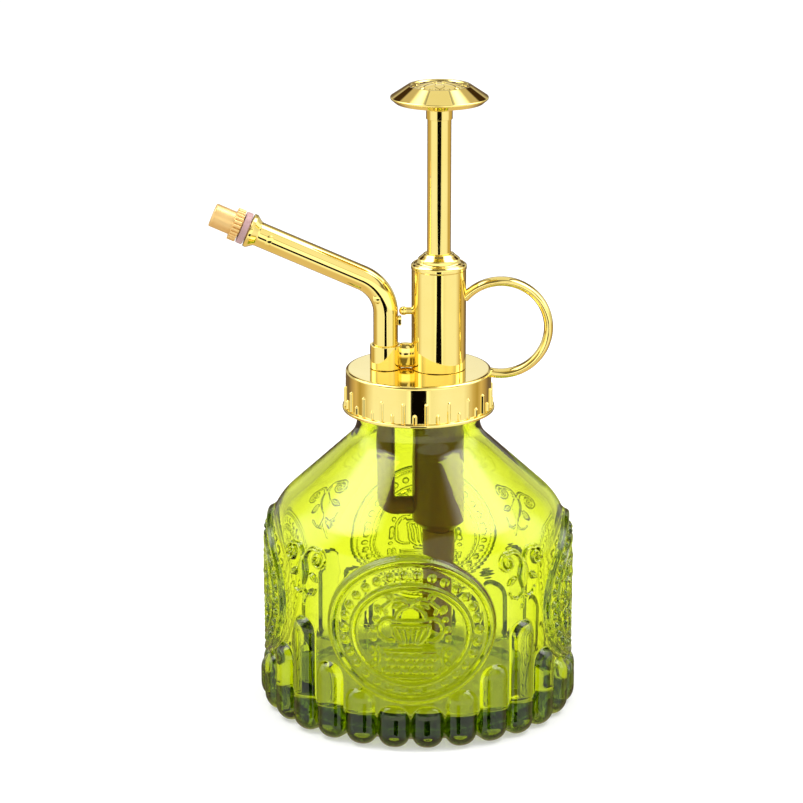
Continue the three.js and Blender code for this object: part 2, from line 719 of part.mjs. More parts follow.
// The two round core plugs in the front of the spout: where, how wide and how deep.
const PLUGS = [
  { at: alongSpout(32.4), radius: 1.5 },
  { at: new THREE.Vector3(-10.5, 0, 109), radius: 1.3 },
];

const plugPin = ({ at, radius }, clearance) => {
  const low = SPOUT_R - 1 - clearance;
  const high = SPOUT_R + 0.05 + clearance;
  const pin = disc(radius + clearance, low, high, FINE_SEGMENTS);
  return pin.rotateX(Math.PI / 2).translate(...at.toArray());
};

function spoutTube() {
  const run = (radius, low, far, steps) => {
    const start = new THREE.Vector3(SPOUT_X, 0, low);
    const path = new Elbow(start, spoutCorner, alongSpout(far), SPOUT_BEND_R);
    return swept(ellipseShape(radius, radius, 14), path, steps);
  };
  const flareEdge = 0.3;
  const flare = ontoSpout(turned([
    [0, FLARE_START],
    [SPOUT_R - flareEdge, FLARE_START],
    [FLARE_R, FLARE_END - flareEdge],
    [FLARE_R, FLARE_END],
    [0, FLARE_END],
  ]));
  const stemHole = ontoSpout(disc(STEM_R + GAP, STEM_START - 2 * GAP, FLARE_END + CUT_MARGIN));
  const groove = sleeve(SPOUT_R + CUT_MARGIN, SEAL_GROOVE_R, ...SEAL_GROOVE_Z).translate(SPOUT_X, 0, 0);
  const outside = join(run(SPOUT_R, SPOUT_BOTTOM_Z, FLARE_START + 2 * GAP, 10), flare);
  const bore = run(SPOUT_BORE_R, SPOUT_BOTTOM_Z - CUT_MARGIN, STEM_START + CUT_MARGIN, 8);
  return cut(outside, bore, stemHole, groove, ...PLUGS.map((plug) => plugPin(plug, GAP)));
}

const spoutSeal = () =>
  sleeve(SPOUT_R + 0.05, SEAL_GROOVE_R + GAP, SEAL_GROOVE_Z[0] + GAP, SEAL_GROOVE_Z[1] - GAP);

// A short lug on the spout and the pin on the barrel that steadies it.
function spoutLug() {
  const low = new THREE.Vector3(SPOUT_X + SPOUT_R - 1, -LUG_WIDTH / 2, LUG_Z[0]);
  const high = new THREE.Vector3(LUG_END_X, LUG_WIDTH / 2, LUG_Z[1]);
  const spout = disc(SPOUT_R + GAP, LUG_Z[0] - CUT_MARGIN, LUG_Z[1] + CUT_MARGIN);
  return cut(block(low, high), spout.translate(SPOUT_X, 0, 0));
}

function bracePin() {
  const length = PUMP_X - BARREL_R + CUT_MARGIN / 2 - PIN_X;
  const shank = disc(PIN_R, 0, length, FINE_SEGMENTS).rotateY(Math.PI / 2);
  const barrel = disc(BARREL_R + GAP, PIN_Z - 2 * PIN_BALL_R, PIN_Z + 2 * PIN_BALL_R);
  return cut(join(ball(PIN_BALL_R), shank).translate(PIN_X, 0, PIN_Z), barrel.translate(PUMP_X, 0, 0));
}

// ---------------------------------------------------------------- nozzle, z along the spout

const nozzleStem = () => sleeve(STEM_R, STEM_BORE_R, STEM_START, STEM_END);

const nozzleWasher = () => sleeve(FLARE_R - 0.2, CHAMBER_R, FLARE_END + 0.3, WASHER_END);

function nozzleCap() {
  const outline = new THREE.Shape();
  for (let i = 0; i < KNURL_TEETH * 2; i += 1) {
    const angle = (i / KNURL_TEETH) * Math.PI;
    const radius = i % 2 ? KNURL_R : KNURL_R - KNURL_DEPTH;
    const point = [radius * Math.cos(angle), radius * Math.sin(angle)];
    if (i === 0) {
      outline.moveTo(...point);
    } else {
      outline.lineTo(...point);
    }
  }
  const options = { depth: KNURL_END - KNURL_START, bevelEnabled: false, steps: 1 };
  const knurl = new THREE.ExtrudeGeometry(outline, options).translate(0, 0, KNURL_START);
  const barrel = turned([
    [0, KNURL_END - 1],
    [NOZZLE_R, KNURL_END - 1],
    [NOZZLE_R, NOZZLE_TIP, 0.25],
    [0, NOZZLE_TIP],
  ], SEGMENTS, 2);
  const chamber = disc(CHAMBER_R, KNURL_START - CUT_MARGIN, CHAMBER_END);
  const orifice = disc(ORIFICE_R, CHAMBER_END - CUT_MARGIN, NOZZLE_TIP + CUT_MARGIN, 12);
  return cut(join(knurl, barrel), chamber, orifice);
}

// A short plug with four slots that spin the water before it leaves.
function swirlCore() {
  const slotWidth = 0.7;
  const slotFloor = 1.4;
  const slots = [0, 1, 2, 3].map((quarter) => {
    const low = new THREE.Vector3(slotFloor, -slotWidth / 2, STEM_END);
    const high = new THREE.Vector3(SWIRL_R + CUT_MARGIN, slotWidth / 2, NOZZLE_TIP);
    return block(low, high).rotateZ(quarter * (Math.PI / 2));
  });
  return cut(disc(SWIRL_R, STEM_END + 0.3, CHAMBER_END - 0.3), ...slots);
}

// ---------------------------------------------------------------- finger ring

function fingerRing() {
  const path = new Arc(RING_CENTRE, RING_R - RING_THICKNESS / 2, ...RING_ENDS_DEG);
  const ring = swept(ellipseShape(RING_WIDTH / 2, RING_THICKNESS / 2, 10), path, 24);
  const barrel = disc(BARREL_R + GAP, CAP_TOP_Z, BARREL_TOP_Z).translate(PUMP_X, 0, 0);
  return cut(ring, barrel, disc(CAP_R + GAP, CAP_BOTTOM_Z, CAP_TOP_Z + GAP, WIDE_SEGMENTS));
}

// ---------------------------------------------------------------- assembly

const piece = (name, geometry, material) => {
  const mesh = new THREE.Mesh(closedGeometry(geometry), material());
  mesh.name = name;
  return mesh;
};

// A valve's ball, resting on its seat.
const seated = (name, radius, seatZ, throat) => {
  const mesh = piece(name, ball(radius), steel);
  mesh.position.z = seatZ + seatedBall(radius, throat);
  return mesh;
};

const group = new THREE.Group();
group.add(
  piece('glass_bottle', glassBottle(), glass),
  piece('neck_gasket', neckGasket(), rubber),
  piece('slip_washer', slipWasher(), white),
  piece('screw_cap', screwCap(), gold),
  piece('finger_ring', fingerRing(), gold),
  piece('outlet_bridge', outletBridge(), gold),
  piece('brace_pin', bracePin(), gold),
  piece('riser_pipe', riserPipe(), amber),
  piece('spout_tube', spoutTube(), gold),
  piece('spout_lug', spoutLug(), gold),
  piece('spout_plug_outer', plugPin(PLUGS[0], 0), gold),
  piece('spout_plug_inner', plugPin(PLUGS[1], 0), gold),
);

const pumpAxis = new THREE.Group();
pumpAxis.position.x = PUMP_X;
pumpAxis.add(
  piece('pump_barrel', pumpBarrel(), gold),
  piece('gland_nut', glandNut(), gold),
  piece('rod_seal', rodSeal(), rubber),
  piece('pump_cylinder', pumpCylinder(), amber),
  piece('cylinder_gasket', cylinderGasket(), rubber),
  piece('spring_seat', springSeat(), white),
  piece('return_spring', returnSpring(), steel),
  piece('piston', piston(), white),
  piece('piston_seal', pistonSeal(), rubber),
  piece('plunger_rod', plungerRod(), gold),
  piece('knob_ferrule', knobFerrule(), gold),
  piece('knob', knob(), gold),
  piece('inlet_valve_housing', inletValveHousing(), amber),
  seated('inlet_valve_ball', INLET_BALL_R, INLET_SEAT_Z, INLET_THROAT_R),
  piece('suction_tube', suctionTube(), amber),
);

const outletAxis = new THREE.Group();
outletAxis.position.x = SPOUT_X;
outletAxis.add(
  piece('outlet_socket', outletSocket(), gold),
  piece('outlet_valve_body', outletValveBody(), white),
  seated('outlet_valve_ball', OUTLET_BALL_R, OUTLET_SEAT_Z, OUTLET_THROAT_R),
  piece('outlet_valve_spring', outletValveSpring(), steel),
  piece('spout_seal', spoutSeal(), rubber),
);

const nozzleAxis = new THREE.Group();
nozzleAxis.position.copy(spoutCorner);
nozzleAxis.rotation.y = SPOUT_RISE - Math.PI / 2;
nozzleAxis.add(
  piece('nozzle_stem', nozzleStem(), brass),
  piece('nozzle_washer', nozzleWasher(), rose),
  piece('nozzle_cap', nozzleCap(), brass),
  piece('swirl_core', swirlCore(), white),
);

group.add(pumpAxis, outletAxis, nozzleAxis);

export default group;
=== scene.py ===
"""A glass plant mister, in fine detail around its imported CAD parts.

Metres and +Z up, as in the frame. -Y is the front, -X the spout's side. Outlines are written in millimetres.
"""

import json
import math

import bpy
import numpy as np
from mathutils import Matrix, Vector


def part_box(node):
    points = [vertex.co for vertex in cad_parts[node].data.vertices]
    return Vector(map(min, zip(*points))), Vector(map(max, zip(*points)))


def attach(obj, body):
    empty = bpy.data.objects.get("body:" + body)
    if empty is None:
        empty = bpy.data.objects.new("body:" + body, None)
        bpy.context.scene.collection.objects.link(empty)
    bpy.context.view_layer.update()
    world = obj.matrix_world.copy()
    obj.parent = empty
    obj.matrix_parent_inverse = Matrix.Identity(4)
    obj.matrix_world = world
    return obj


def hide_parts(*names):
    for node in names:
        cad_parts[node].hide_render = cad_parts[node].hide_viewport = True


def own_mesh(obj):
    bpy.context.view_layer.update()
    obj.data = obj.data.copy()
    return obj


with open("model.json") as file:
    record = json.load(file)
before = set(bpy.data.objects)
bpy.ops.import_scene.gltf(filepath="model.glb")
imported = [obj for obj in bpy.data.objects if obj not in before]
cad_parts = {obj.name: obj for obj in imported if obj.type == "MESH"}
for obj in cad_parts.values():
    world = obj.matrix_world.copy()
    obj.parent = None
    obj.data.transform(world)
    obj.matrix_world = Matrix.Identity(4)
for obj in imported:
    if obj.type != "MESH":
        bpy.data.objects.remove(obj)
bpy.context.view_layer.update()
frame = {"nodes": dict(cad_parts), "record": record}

MM = 0.001
TURN = 2 * math.pi

# ---- driving dimensions, in mm

BODY_R = 39.4
FOOT_R = 33.0
FOOT_HOLLOW = ((20.0, 1.2), (29.5, 1.2), (30.2, 1.0), (31.0, 0.25), (31.6, 0.0))  # radius and height
FOOT_SLOPE = ((35.6, 1.4, 2), (38.0, 4.6, 4), (BODY_R, 9.0, 4))  # radius, height and fillet
SHOULDER_Z = 51.6
SHOULDER_FILLET = 16.0
NECK_BASE_Z = 73.4
NECK_FILLET = 7.0
NECK_R = 16.0
WALL = 3.2
NECK_BORE_R = 13.2
NECK_CHAMFER = 0.7
FLOOR_Z = 7.0
FLOOR_FILLET = 2.5
FLOOR_CROWN = 0.6  # rise of the inner floor at its middle
PLAIN_STEP = 1.0  # between two loops of the glass's mesh, where it is smooth
RELIEF_STEP = 0.22  # and where it has relief
LOBE_COUNT = 28
LOBE_R = 41.7
LOBE_CORE_R = 38.0  # the middle line of the lobes' round bodies
LOBE_SHARE = 0.98  # of the pitch between two lobes
LOBE_END = 4.6  # height of a lobe's round foot
LOBE_SQUARENESS = 2.3  # the power of a lobe's superellipse
LOBE_TOPS = (12.0, 15.8, 21.4, 31.4)  # outwards from a medallion's centre line
PATTERN_TURN = math.radians(-3)
MEDALLION_COUNT = 4
MEDALLION_Z = 32.0
OVAL = (20.8, 19.3)  # half width and half height of a medallion's rim
PEARL_COUNT = 30
PEARL_OVAL = (16.95, 15.45)
PEARL_R = 1.15
PEARL_RISE = 1.35
PLATE_RISE = 0.45
SPRIG_TOP_Z = 52.5
THREAD_PITCH = 3.0
THREAD_TURNS = 1.25
THREAD_START_Z = 81.6
THREAD_PROUD = 0.9
THREAD_HALF_WIDTH = 0.8

CAP_R = 18.9
CAP_BORE_R = 17.3
CAP_PLATE = 1.6
FLANGE_R = 19.76
FLANGE_HEIGHT = 0.9
RIB_COUNT = 40
RIB_WIDTH = 1.1
RIB_PROUD = 0.5
RIB_HEIGHTS = (2.5, 5.5)
RIB_STEP = 0.14  # between two loops of the cap's mesh along the ribs
FIRST_RIB_ANGLE = math.radians(-3.1)

KNOB_DOME = 0.9  # rise of the knob's top from its rim to its middle
KNOB_TOP_R = 6.9
PETAL_COUNT = 8
PETAL_SPAN = (1.4, 5.8)  # radii of a petal's two ends
BOSS_R = 1.35
BOSS_RISE = 0.16
BEAD_COUNT = 24
BEAD_RING_R = 5.75

BARREL_LIP = 0.15

SPOUT_R = 3.2
SPOUT_BORE_R = 1.7
SPOUT_BEND_R = 10.0
SPOUT_RISE = math.radians(23.6)
SPOUT_CORNER_Z = 111.33
FLARE_START = 36.25  # distances along the spout's sloping run, from its corner
FLARE_END = 38.2
FLARE_R = 4.45
FLARE_LEAD = 3.0  # the bent part of the mesh ends this far before the flare
STEM_START = 33.0
STEM_CLEARANCE = 0.2
STEM_HOLE_R = 2.3
KNURL_TEETH = 24
KNURL_DEPTH = 0.42
KNURL_R = 4.3
NOZZLE_R = 3.1
NOZZLE_WALL = 1.2
CHAMBER_R = 2.4
ORIFICE_R = 0.45

DUCT_R = 2.4
DUCT_BORE_R = 1.2
DUCT_BEND_R = 2.6
PORT_REACH = 6.4  # from the pump's axis to the duct's end in the cylinder's wall
DUCT_Z = 51.8

RING_CENTRE = (21.25, 0.0, 100.75)
RING_R = 13.5
RING_THICKNESS = 2.4
RING_WIDTH = 3.9

# ---- the frame's own places

record = frame["record"]
BODY_OF = {node: body for body, nodes in record["behaviour"]["bodies"].items() for node in nodes}
SLOT_OF = {part["node"]: part["material_slot"] for part in record["subparts"]}


def box_mm(node):
    low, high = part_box(node)
    return low / MM, high / MM


def middle_x(node):
    low, high = box_mm(node)
    return (low.x + high.x) / 2


PUMP_X = middle_x("pump_barrel")
SPOUT_X = middle_x("outlet_socket")
CAP_LOW_Z, CAP_TOP_Z = (corner.z for corner in box_mm("screw_cap"))
NECK_TOP_Z = box_mm("glass_bottle")[1].z

BOTTLE_AXIS = Matrix.Identity(4)
PUMP_AXIS = Matrix.Translation((PUMP_X, 0, 0))
SPOUT_AXIS = Matrix.Translation((SPOUT_X, 0, 0))
SPOUT_CORNER = Vector((SPOUT_X, 0, SPOUT_CORNER_Z))
SPOUT_DIRECTION = Vector((-math.cos(SPOUT_RISE), 0, math.sin(SPOUT_RISE)))
NOZZLE_AXIS = Matrix.Translation(SPOUT_CORNER) @ Matrix.Rotation(SPOUT_RISE - math.pi / 2, 4, "Y")

# ---- materials


def opaque(colour):
    """A colour of three parts, or a grey level, with its alpha."""
    parts = colour if isinstance(colour, tuple) else (colour, colour, colour)
    return (*parts, 1.0)


class Nodes:
    """A short way to write a node tree. Colours are given as three parts, or as one grey level."""

    def __init__(self, tree):
        self.tree = tree
        tree.nodes.clear()

    def add(self, kind, inputs=None, **settings):
        node = self.tree.nodes.new(kind)
        for name, value in settings.items():
            setattr(node, name, value)
        for name, value in (inputs or {}).items():
            self.set(node.inputs[name], value)
        return node

    def set(self, socket, value):
        if isinstance(value, bpy.types.NodeSocket):
            self.tree.links.new(value, socket)
        else:
            socket.default_value = value

    def math(self, operation, first, second=0.0, third=0.0):
        inputs = {0: first, 1: second, 2: third}
        return self.add("ShaderNodeMath", inputs, operation=operation).outputs[0]

    def blend(self, kind, first, second, share=1.0):
        node = self.add("ShaderNodeMix", {0: share}, data_type="RGBA", blend_type=kind)
        for place, colour in ((6, first), (7, second)):
            is_linked = isinstance(colour, bpy.types.NodeSocket)
            self.set(node.inputs[place], colour if is_linked else opaque(colour))
        return node.outputs[2]

    def mix(self, share, first, second):
        return self.blend("MIX", first, second, share)

    def ramp(self, value, stops, interpolation="LINEAR"):
        node = self.add("ShaderNodeValToRGB", {0: value})
        node.color_ramp.interpolation = interpolation
        elements = node.color_ramp.elements
        while len(elements) < len(stops):
            elements.new(1.0)
        for element, (place, colour) in zip(elements, stops):
            element.position = place
            element.color = opaque(colour)
        return node.outputs[0]

    def spread(self, value, first, second, ends=(0.3, 0.7)):
        """From one colour or level to another, as the value goes from one end to the other."""
        return self.ramp(value, [(ends[0], first), (ends[1], second)])

    def fade(self, value, off, on, interpolation="LINEAR"):
        """A share of 0 where the value is off and 1 where it is on. Either one may be the greater."""
        return self.ramp(value, sorted([(off, 0.0), (on, 1.0)]), interpolation)

    def noise(self, scale, detail=3.0, stretch=(1.0, 1.0, 1.0)):
        place = self.add("ShaderNodeTexCoord").outputs["Object"]
        mapping = self.add("ShaderNodeMapping", {"Vector": place, "Scale": stretch})
        inputs = {"Vector": mapping.outputs[0], "Scale": scale, "Detail": detail}
        return self.add("ShaderNodeTexNoise", inputs).outputs[0]

    def bump(self, height, depth, strength):
        inputs = {"Height": height, "Distance": depth * MM, "Strength": strength}
        return self.add("ShaderNodeBump", inputs).outputs[0]


def new_material(name, make, absorption=None, **constants):
    """A Principled material. make(nodes) gives the linked inputs. The constants are set on the shader.

    absorption, where given, is the colour and the density per metre of what the body swallows inside.
    """
    material = bpy.data.materials.new(name)
    material.use_nodes = True
    nodes = Nodes(material.node_tree)
    shader = nodes.add("ShaderNodeBsdfPrincipled")
    for socket, value in constants.items():
        shader.inputs[socket.replace("_", " ")].default_value = value
    for socket, value in make(nodes).items():
        nodes.set(shader.inputs[socket], value)
    output = nodes.add("ShaderNodeOutputMaterial")
    nodes.tree.links.new(shader.outputs[0], output.inputs["Surface"])
    if absorption:
        colour, density = absorption
        body = nodes.add("ShaderNodeVolumeAbsorption", {"Color": opaque(colour), "Density": density})
        nodes.tree.links.new(body.outputs[0], output.inputs["Volume"])
    return material


def make_gold(nodes):
    return {
        "Base Color": nodes.spread(nodes.noise(90.0, 4.0), (0.93, 0.77, 0.26), (0.96, 0.81, 0.31)),
        "Roughness": nodes.spread(nodes.noise(700.0, 2.0), 0.03, 0.065, (0.35, 0.75)),
        "Normal": nodes.bump(nodes.noise(45.0, 2.0), 0.01, 0.25),
    }


def make_brass(nodes):
    grain = nodes.noise(1400.0)
    return {
        "Base Color": nodes.spread(nodes.noise(160.0), (0.80, 0.53, 0.21), (0.90, 0.64, 0.29)),
        "Roughness": nodes.spread(grain, 0.36, 0.48),
        "Normal": nodes.bump(grain, 0.02, 0.4),
    }


def make_rose(nodes):
    grain = nodes.noise(900.0, 4.0)
    return {
        "Base Color": nodes.spread(grain, (0.40, 0.24, 0.24), (0.48, 0.30, 0.30)),
        "Roughness": nodes.spread(grain, 0.38, 0.5),
        "Normal": nodes.bump(grain, 0.03, 0.4),
    }


def make_glass(nodes):
    ripple = nodes.noise(55.0, 2.0, (1.0, 1.0, 0.6))
    return {"Normal": nodes.bump(ripple, 0.06, 0.5)}


def make_amber(nodes):
    cloud = nodes.noise(60.0, 3.0, (1.0, 1.0, 0.3))
    return {
        "Base Color": nodes.spread(cloud, (0.12, 0.04, 0.002), (0.24, 0.09, 0.003)),
        "Roughness": nodes.spread(cloud, 0.1, 0.18),
    }


def make_white(nodes):
    grain = nodes.noise(500.0)
    return {
        "Base Color": nodes.spread(grain, (0.74, 0.73, 0.68), (0.8, 0.79, 0.75)),
        "Roughness": nodes.spread(grain, 0.4, 0.5),
    }


def make_rubber(nodes):
    grain = nodes.noise(1500.0, 4.0)
    return {
        "Base Color": nodes.spread(grain, 0.018, 0.03),
        "Roughness": nodes.spread(grain, 0.65, 0.8),
        "Normal": nodes.bump(grain, 0.04, 0.4),
    }


def make_steel(nodes):
    drawn = nodes.noise(900.0, 3.0, (1.0, 1.0, 0.2))
    return {
        "Base Color": nodes.spread(drawn, (0.56, 0.57, 0.58), (0.66, 0.67, 0.68)),
        "Roughness": nodes.spread(drawn, 0.18, 0.3),
    }


MATERIALS = {
    "glass": new_material("green_glass", make_glass, ((0.887, 0.915, 0.1), 400.0), Transmission_Weight=1.0,
                          Base_Color=opaque((0.955, 0.985, 0.48)), Roughness=0.0, IOR=1.5),
    "gold_plating": new_material("gold_plating", make_gold, Metallic=1.0),
    "nozzle_brass": new_material("satin_brass", make_brass, Metallic=0.85),
    "rose_washer": new_material("rose_washer", make_rose, Specular_IOR_Level=0.5),
    "amber_plastic": new_material("amber_plastic", make_amber, Specular_IOR_Level=0.45),
    "white_plastic": new_material("white_plastic", make_white, Specular_IOR_Level=0.4),
    "black_rubber": new_material("black_rubber", make_rubber, Specular_IOR_Level=0.3),
    "steel": new_material("drawn_steel", make_steel, Metallic=1.0),
}

# ---- mesh code


def rotated(arm, angle):
    cos, sin = math.cos(angle), math.sin(angle)
    return np.array([cos * arm[0] - sin * arm[1], sin * arm[0] + cos * arm[1]])


def rounded(corners, closed, bevel, steps=4):
    """Points of an outline whose corners (across, up[, fillet]) are rounded off by arcs.

    A support point beside each arc keeps the flats' shading flat. The ends of an open outline stay sharp.
    """
    longest_share = 0.45  # of an edge that one arc may use up
    nearly_straight = math.radians(88)
    support_share = 0.2  # of an arc's reach, from the arc to its support point
    points = []
    count = len(corners)
    for i, corner in enumerate(corners):
        here = np.array(corner[:2], float)
        fillet = corner[2] if len(corner) > 2 else bevel
        ends = not closed and i in (0, count - 1)
        if ends or fillet <= 0:
            points.append(here)
            continue
        back = np.array(corners[i - 1][:2], float) - here
        ahead = np.array(corners[(i + 1) % count][:2], float) - here
        room = longest_share * min(np.hypot(*back), np.hypot(*ahead))
        back /= np.hypot(*back)
        ahead /= np.hypot(*ahead)
        half = math.acos(np.clip(back @ ahead, -1, 1)) / 2
        if half > nearly_straight:
            points.append(here)
            continue
        reach = min(fillet / math.tan(half), room)
        radius = reach * math.tan(half)
        centre = here + (back + ahead) / np.hypot(*(back + ahead)) * radius / math.sin(half)
        start = here + back * reach - centre
        turn = (math.pi - 2 * half) * math.copysign(1, back[0] * ahead[1] - back[1] * ahead[0])
        support = support_share * reach
        points.append(here + back * (reach + support))
        points += [centre + rotated(start, -turn * step / steps) for step in range(steps + 1)]
        points.append(here + ahead * (reach + support))
    return np.array(points)


def circle(radius, height, columns, relief=None):
    """One loop about Z, starting at the front. relief(angles, height) adds to the radius."""
    angles = np.arange(columns) / columns * TURN
    radii = radius + (relief(angles, height) if relief else 0.0)
    return np.column_stack([radii * np.sin(angles), -radii * np.cos(angles), np.full(columns, float(height))])


def tip(z):
    """A loop of one point, on the axis."""
    return np.array([[0.0, 0.0, z]])


def skin(name, loops, slot, axis, closed, crease):
    """A closed mesh through loops of points in mm. A loop of one point ends the surface on the axis.

    Edges sharper than the crease angle, in degrees, stay sharp.
    """
    starts = np.cumsum([0] + [len(loop) for loop in loops])
    faces = []
    pairs = [(i, i + 1) for i in range(len(loops) - 1)] + ([(len(loops) - 1, 0)] if closed else [])
    for first, second in pairs:
        a, b = starts[first], starts[second]
        columns = max(len(loops[first]), len(loops[second]))
        here = np.arange(columns)
        ahead = (here + 1) % columns
        if len(loops[first]) == 1:
            faces += np.column_stack([np.full(columns, a), b + ahead, b + here]).tolist()
        elif len(loops[second]) == 1:
            faces += np.column_stack([a + here, a + ahead, np.full(columns, b)]).tolist()
        else:
            faces += np.column_stack([a + here, a + ahead, b + ahead, b + here]).tolist()
    if not closed:
        if len(loops[0]) > 1:
            faces.append(list(range(len(loops[0])))[::-1])
        if len(loops[-1]) > 1:
            faces.append(list(range(starts[-2], starts[-1])))
    points = np.concatenate(loops)
    matrix = np.array(axis, float)
    points = (points @ matrix[:3, :3].T + matrix[:3, 3]) * MM
    mesh = bpy.data.meshes.new(name)
    mesh.from_pydata(points.tolist(), [], faces)
    mesh.calc_loop_triangles()
    corners = np.empty(len(mesh.loop_triangles) * 3, np.int64)
    mesh.loop_triangles.foreach_get("vertices", corners)
    a, b, c = (points[corners[i::3]] for i in range(3))
    if np.einsum("ij,ij->i", a, np.cross(b, c)).sum() < 0:
        mesh.flip_normals()
    mesh.shade_smooth()
    mesh.set_sharp_from_angle(angle=math.radians(crease))
    mesh.materials.append(MATERIALS[slot])
    obj = bpy.data.objects.new(name, mesh)
    bpy.context.scene.collection.objects.link(obj)
    return obj


def show(node, loops, axis=BOTTLE_AXIS, closed=False, crease=42):
    """A fine mesh shown instead of a CAD node, which moves and is painted as the node is."""
    obj = skin(f"{node}_fine", loops, SLOT_OF[node], axis, closed, crease)
    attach(obj, BODY_OF[node])
    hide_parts(node)
    return obj


def loops_from(points, columns):
    """The loops of a solid of revolution, from its outline."""
    on_axis = 1e-6
    return [tip(z) if r < on_axis else circle(r, z, columns) for r, z in points]


def cad_outline(node, axis):
    """The half outline (radius, height) of a turned CAD node, in order, and whether it is closed.

    It is read from the vertices in the plane that cuts the node in front of its axis.
    """
    mesh = frame["nodes"][node].data
    inverse = np.array(axis.inverted(), float)
    points = np.array([v.co for v in mesh.vertices], float) / MM
    points = np.round(points @ inverse[:3, :3].T + inverse[:3, 3], 3)
    tolerance = 0.004
    on_front = (np.abs(points[:, 0]) < tolerance) & (points[:, 1] < tolerance)
    places = {}
    of_vertex = {}
    for i in np.nonzero(on_front)[0]:
        key = (round(abs(points[i, 1]), 2) + 0.0, round(points[i, 2], 2) + 0.0)
        of_vertex[int(i)] = places.setdefault(key, key)
    links = {key: set() for key in places}
    for polygon in mesh.polygons:
        ring = list(polygon.vertices)
        for first, second in zip(ring, ring[1:] + ring[:1]):
            if first in of_vertex and second in of_vertex:
                a, b = of_vertex[first], of_vertex[second]
                if a != b and not (a[0] == 0 and b[0] == 0):
                    links[a].add(b)
                    links[b].add(a)
    ends = [key for key, others in links.items() if len(others) == 1]
    start = min(ends, key=lambda key: key[1]) if ends else min(links)
    order = [start]
    while ahead := [key for key in links[order[-1]] if key not in order]:
        order.append(ahead[0])
    return order, not ends


def turned_as(node, axis, bevel=0.12):
    """A fine solid of revolution on a turned CAD node's own outline."""
    corners, closed = cad_outline(node, axis)
    show(node, loops_from(rounded(corners, closed, bevel), 96), axis, closed)


def frames_along(path):
    """Two directions across a path at each of its points, turned as little as possible on the way."""
    path = np.asarray(path, float)
    ahead = np.gradient(path, axis=0)
    ahead /= np.linalg.norm(ahead, axis=1)[:, None]
    side = np.cross(ahead[0], (0, 1, 0) if abs(ahead[0][1]) < 0.9 else (1, 0, 0))
    sides = []
    for direction in ahead:
        side = side - direction * (side @ direction)
        side = side / np.linalg.norm(side)
        sides.append(side)
    sides = np.array(sides)
    return sides, np.cross(ahead, sides)


def tube_loops(path, radius, columns=48, other=None):
    """Loops round a path. other, where given, is the half size across the second direction."""
    across, up = frames_along(path)
    angles = np.arange(columns) / columns * TURN
    cos, sin = np.cos(angles)[:, None], np.sin(angles)[:, None]
    other = radius if other is None else other
    return [np.asarray(point) + a * cos * radius + u * sin * other for point, a, u in zip(path, across, up)]


def elbow(start, corner, end, bend, steps=14):
    """Points of two straight runs and the bend between them, with a point beside each end of the bend."""
    beside = 0.03  # share of a run, from the bend to the point beside it
    start, corner, end = (np.array(point, float) for point in (start, corner, end))
    back = (start - corner) / np.linalg.norm(start - corner)
    ahead = (end - corner) / np.linalg.norm(end - corner)
    half = math.acos(back @ ahead) / 2
    centre = corner + (back + ahead) / np.linalg.norm(back + ahead) * bend / math.sin(half)
    first = corner + back * bend / math.tan(half)
    last = corner + ahead * bend / math.tan(half)
    arm, side = first - centre, -back * bend
    turn = math.pi - 2 * half
    angles = [turn * i / steps for i in range(steps + 1)]
    bent = [centre + arm * math.cos(angle) + side * math.sin(angle) for angle in angles]
    run_in = [start + (first - start) * share for share in (0.5, 1 - beside)]
    run_out = [last + (end - last) * share for share in (beside, 0.5)]
    return [start, *run_in, *bent, *run_out, end]


def rounded_block(node, low, high, bevel, power=8):
    """A small block shown instead of a CAD node: a superellipse from above, with rounded rims."""
    size = np.array(high, float) - np.array(low, float)
    centre = (np.array(high, float) + np.array(low, float)) / 2
    columns = 64
    angles = (np.arange(columns) + 0.5) / columns * TURN
    cos, sin = np.cos(angles), np.sin(angles)
    shape = (np.abs(cos) ** power + np.abs(sin) ** power) ** (-1 / power)

    def loop(inset, height):
        across = size[:2] / 2 - inset
        x = centre[0] + across[0] * cos * shape
        y = centre[1] + across[1] * sin * shape
        return np.column_stack([x, y, np.full(columns, low[2] + height)])

    quarter = np.linspace(0, math.pi / 2, 5)
    rim = [(bevel * (1 - math.sin(t)), bevel * (1 - math.cos(t))) for t in quarter]
    loops = [np.array([[centre[0], centre[1], low[2]]])]
    loops += [loop(inset, height) for inset, height in rim]
    loops += [loop(inset, size[2] - height) for inset, height in reversed(rim)]
    loops.append(np.array([[centre[0], centre[1], low[2] + size[2]]]))
    show(node, loops)


# ---- the glass bottle


def ridge(distance, half_width, height):
    """A rounded ridge's height at a distance from its middle line."""
    return height * np.sqrt(np.clip(1 - (distance / half_width) ** 2, 0, 1))


def step_up(distance, width, height):
    """A smooth step from nothing outside (distance above width) to height inside (distance below 0)."""
    share = np.clip(1 - distance / width, 0, 1)
    return height * share * share * (3 - 2 * share)


def oval_distance(u, v, half_width, half_height):
    """About how far a point lies outside an oval: negative inside."""
    level = np.sqrt((u / half_width) ** 2 + (v / half_height) ** 2) + 1e-9
    slope = np.sqrt((u / half_width**2) ** 2 + (v / half_height**2) ** 2) + 1e-9
    return (level - 1) * level / slope


def stroke(u, v, line, half_width, height, taper=0.0):
    """The height of a rounded stroke along a line of points. taper narrows it towards its end."""
    best = np.zeros_like(u)
    count = len(line) - 1
    for i, (first, second) in enumerate(zip(line, line[1:])):
        along = (second[0] - first[0], second[1] - first[1])
        length = along[0] ** 2 + along[1] ** 2 + 1e-12
        share = np.clip(((u - first[0]) * along[0] + (v - first[1]) * along[1]) / length, 0, 1)
        distance = np.hypot(u - first[0] - share * along[0], v - first[1] - share * along[1])
        width = half_width * (1 - taper * (i + 0.5) / count)
        best = np.maximum(best, ridge(distance, width, height * (1 - 0.5 * taper * i / count)))
    return best


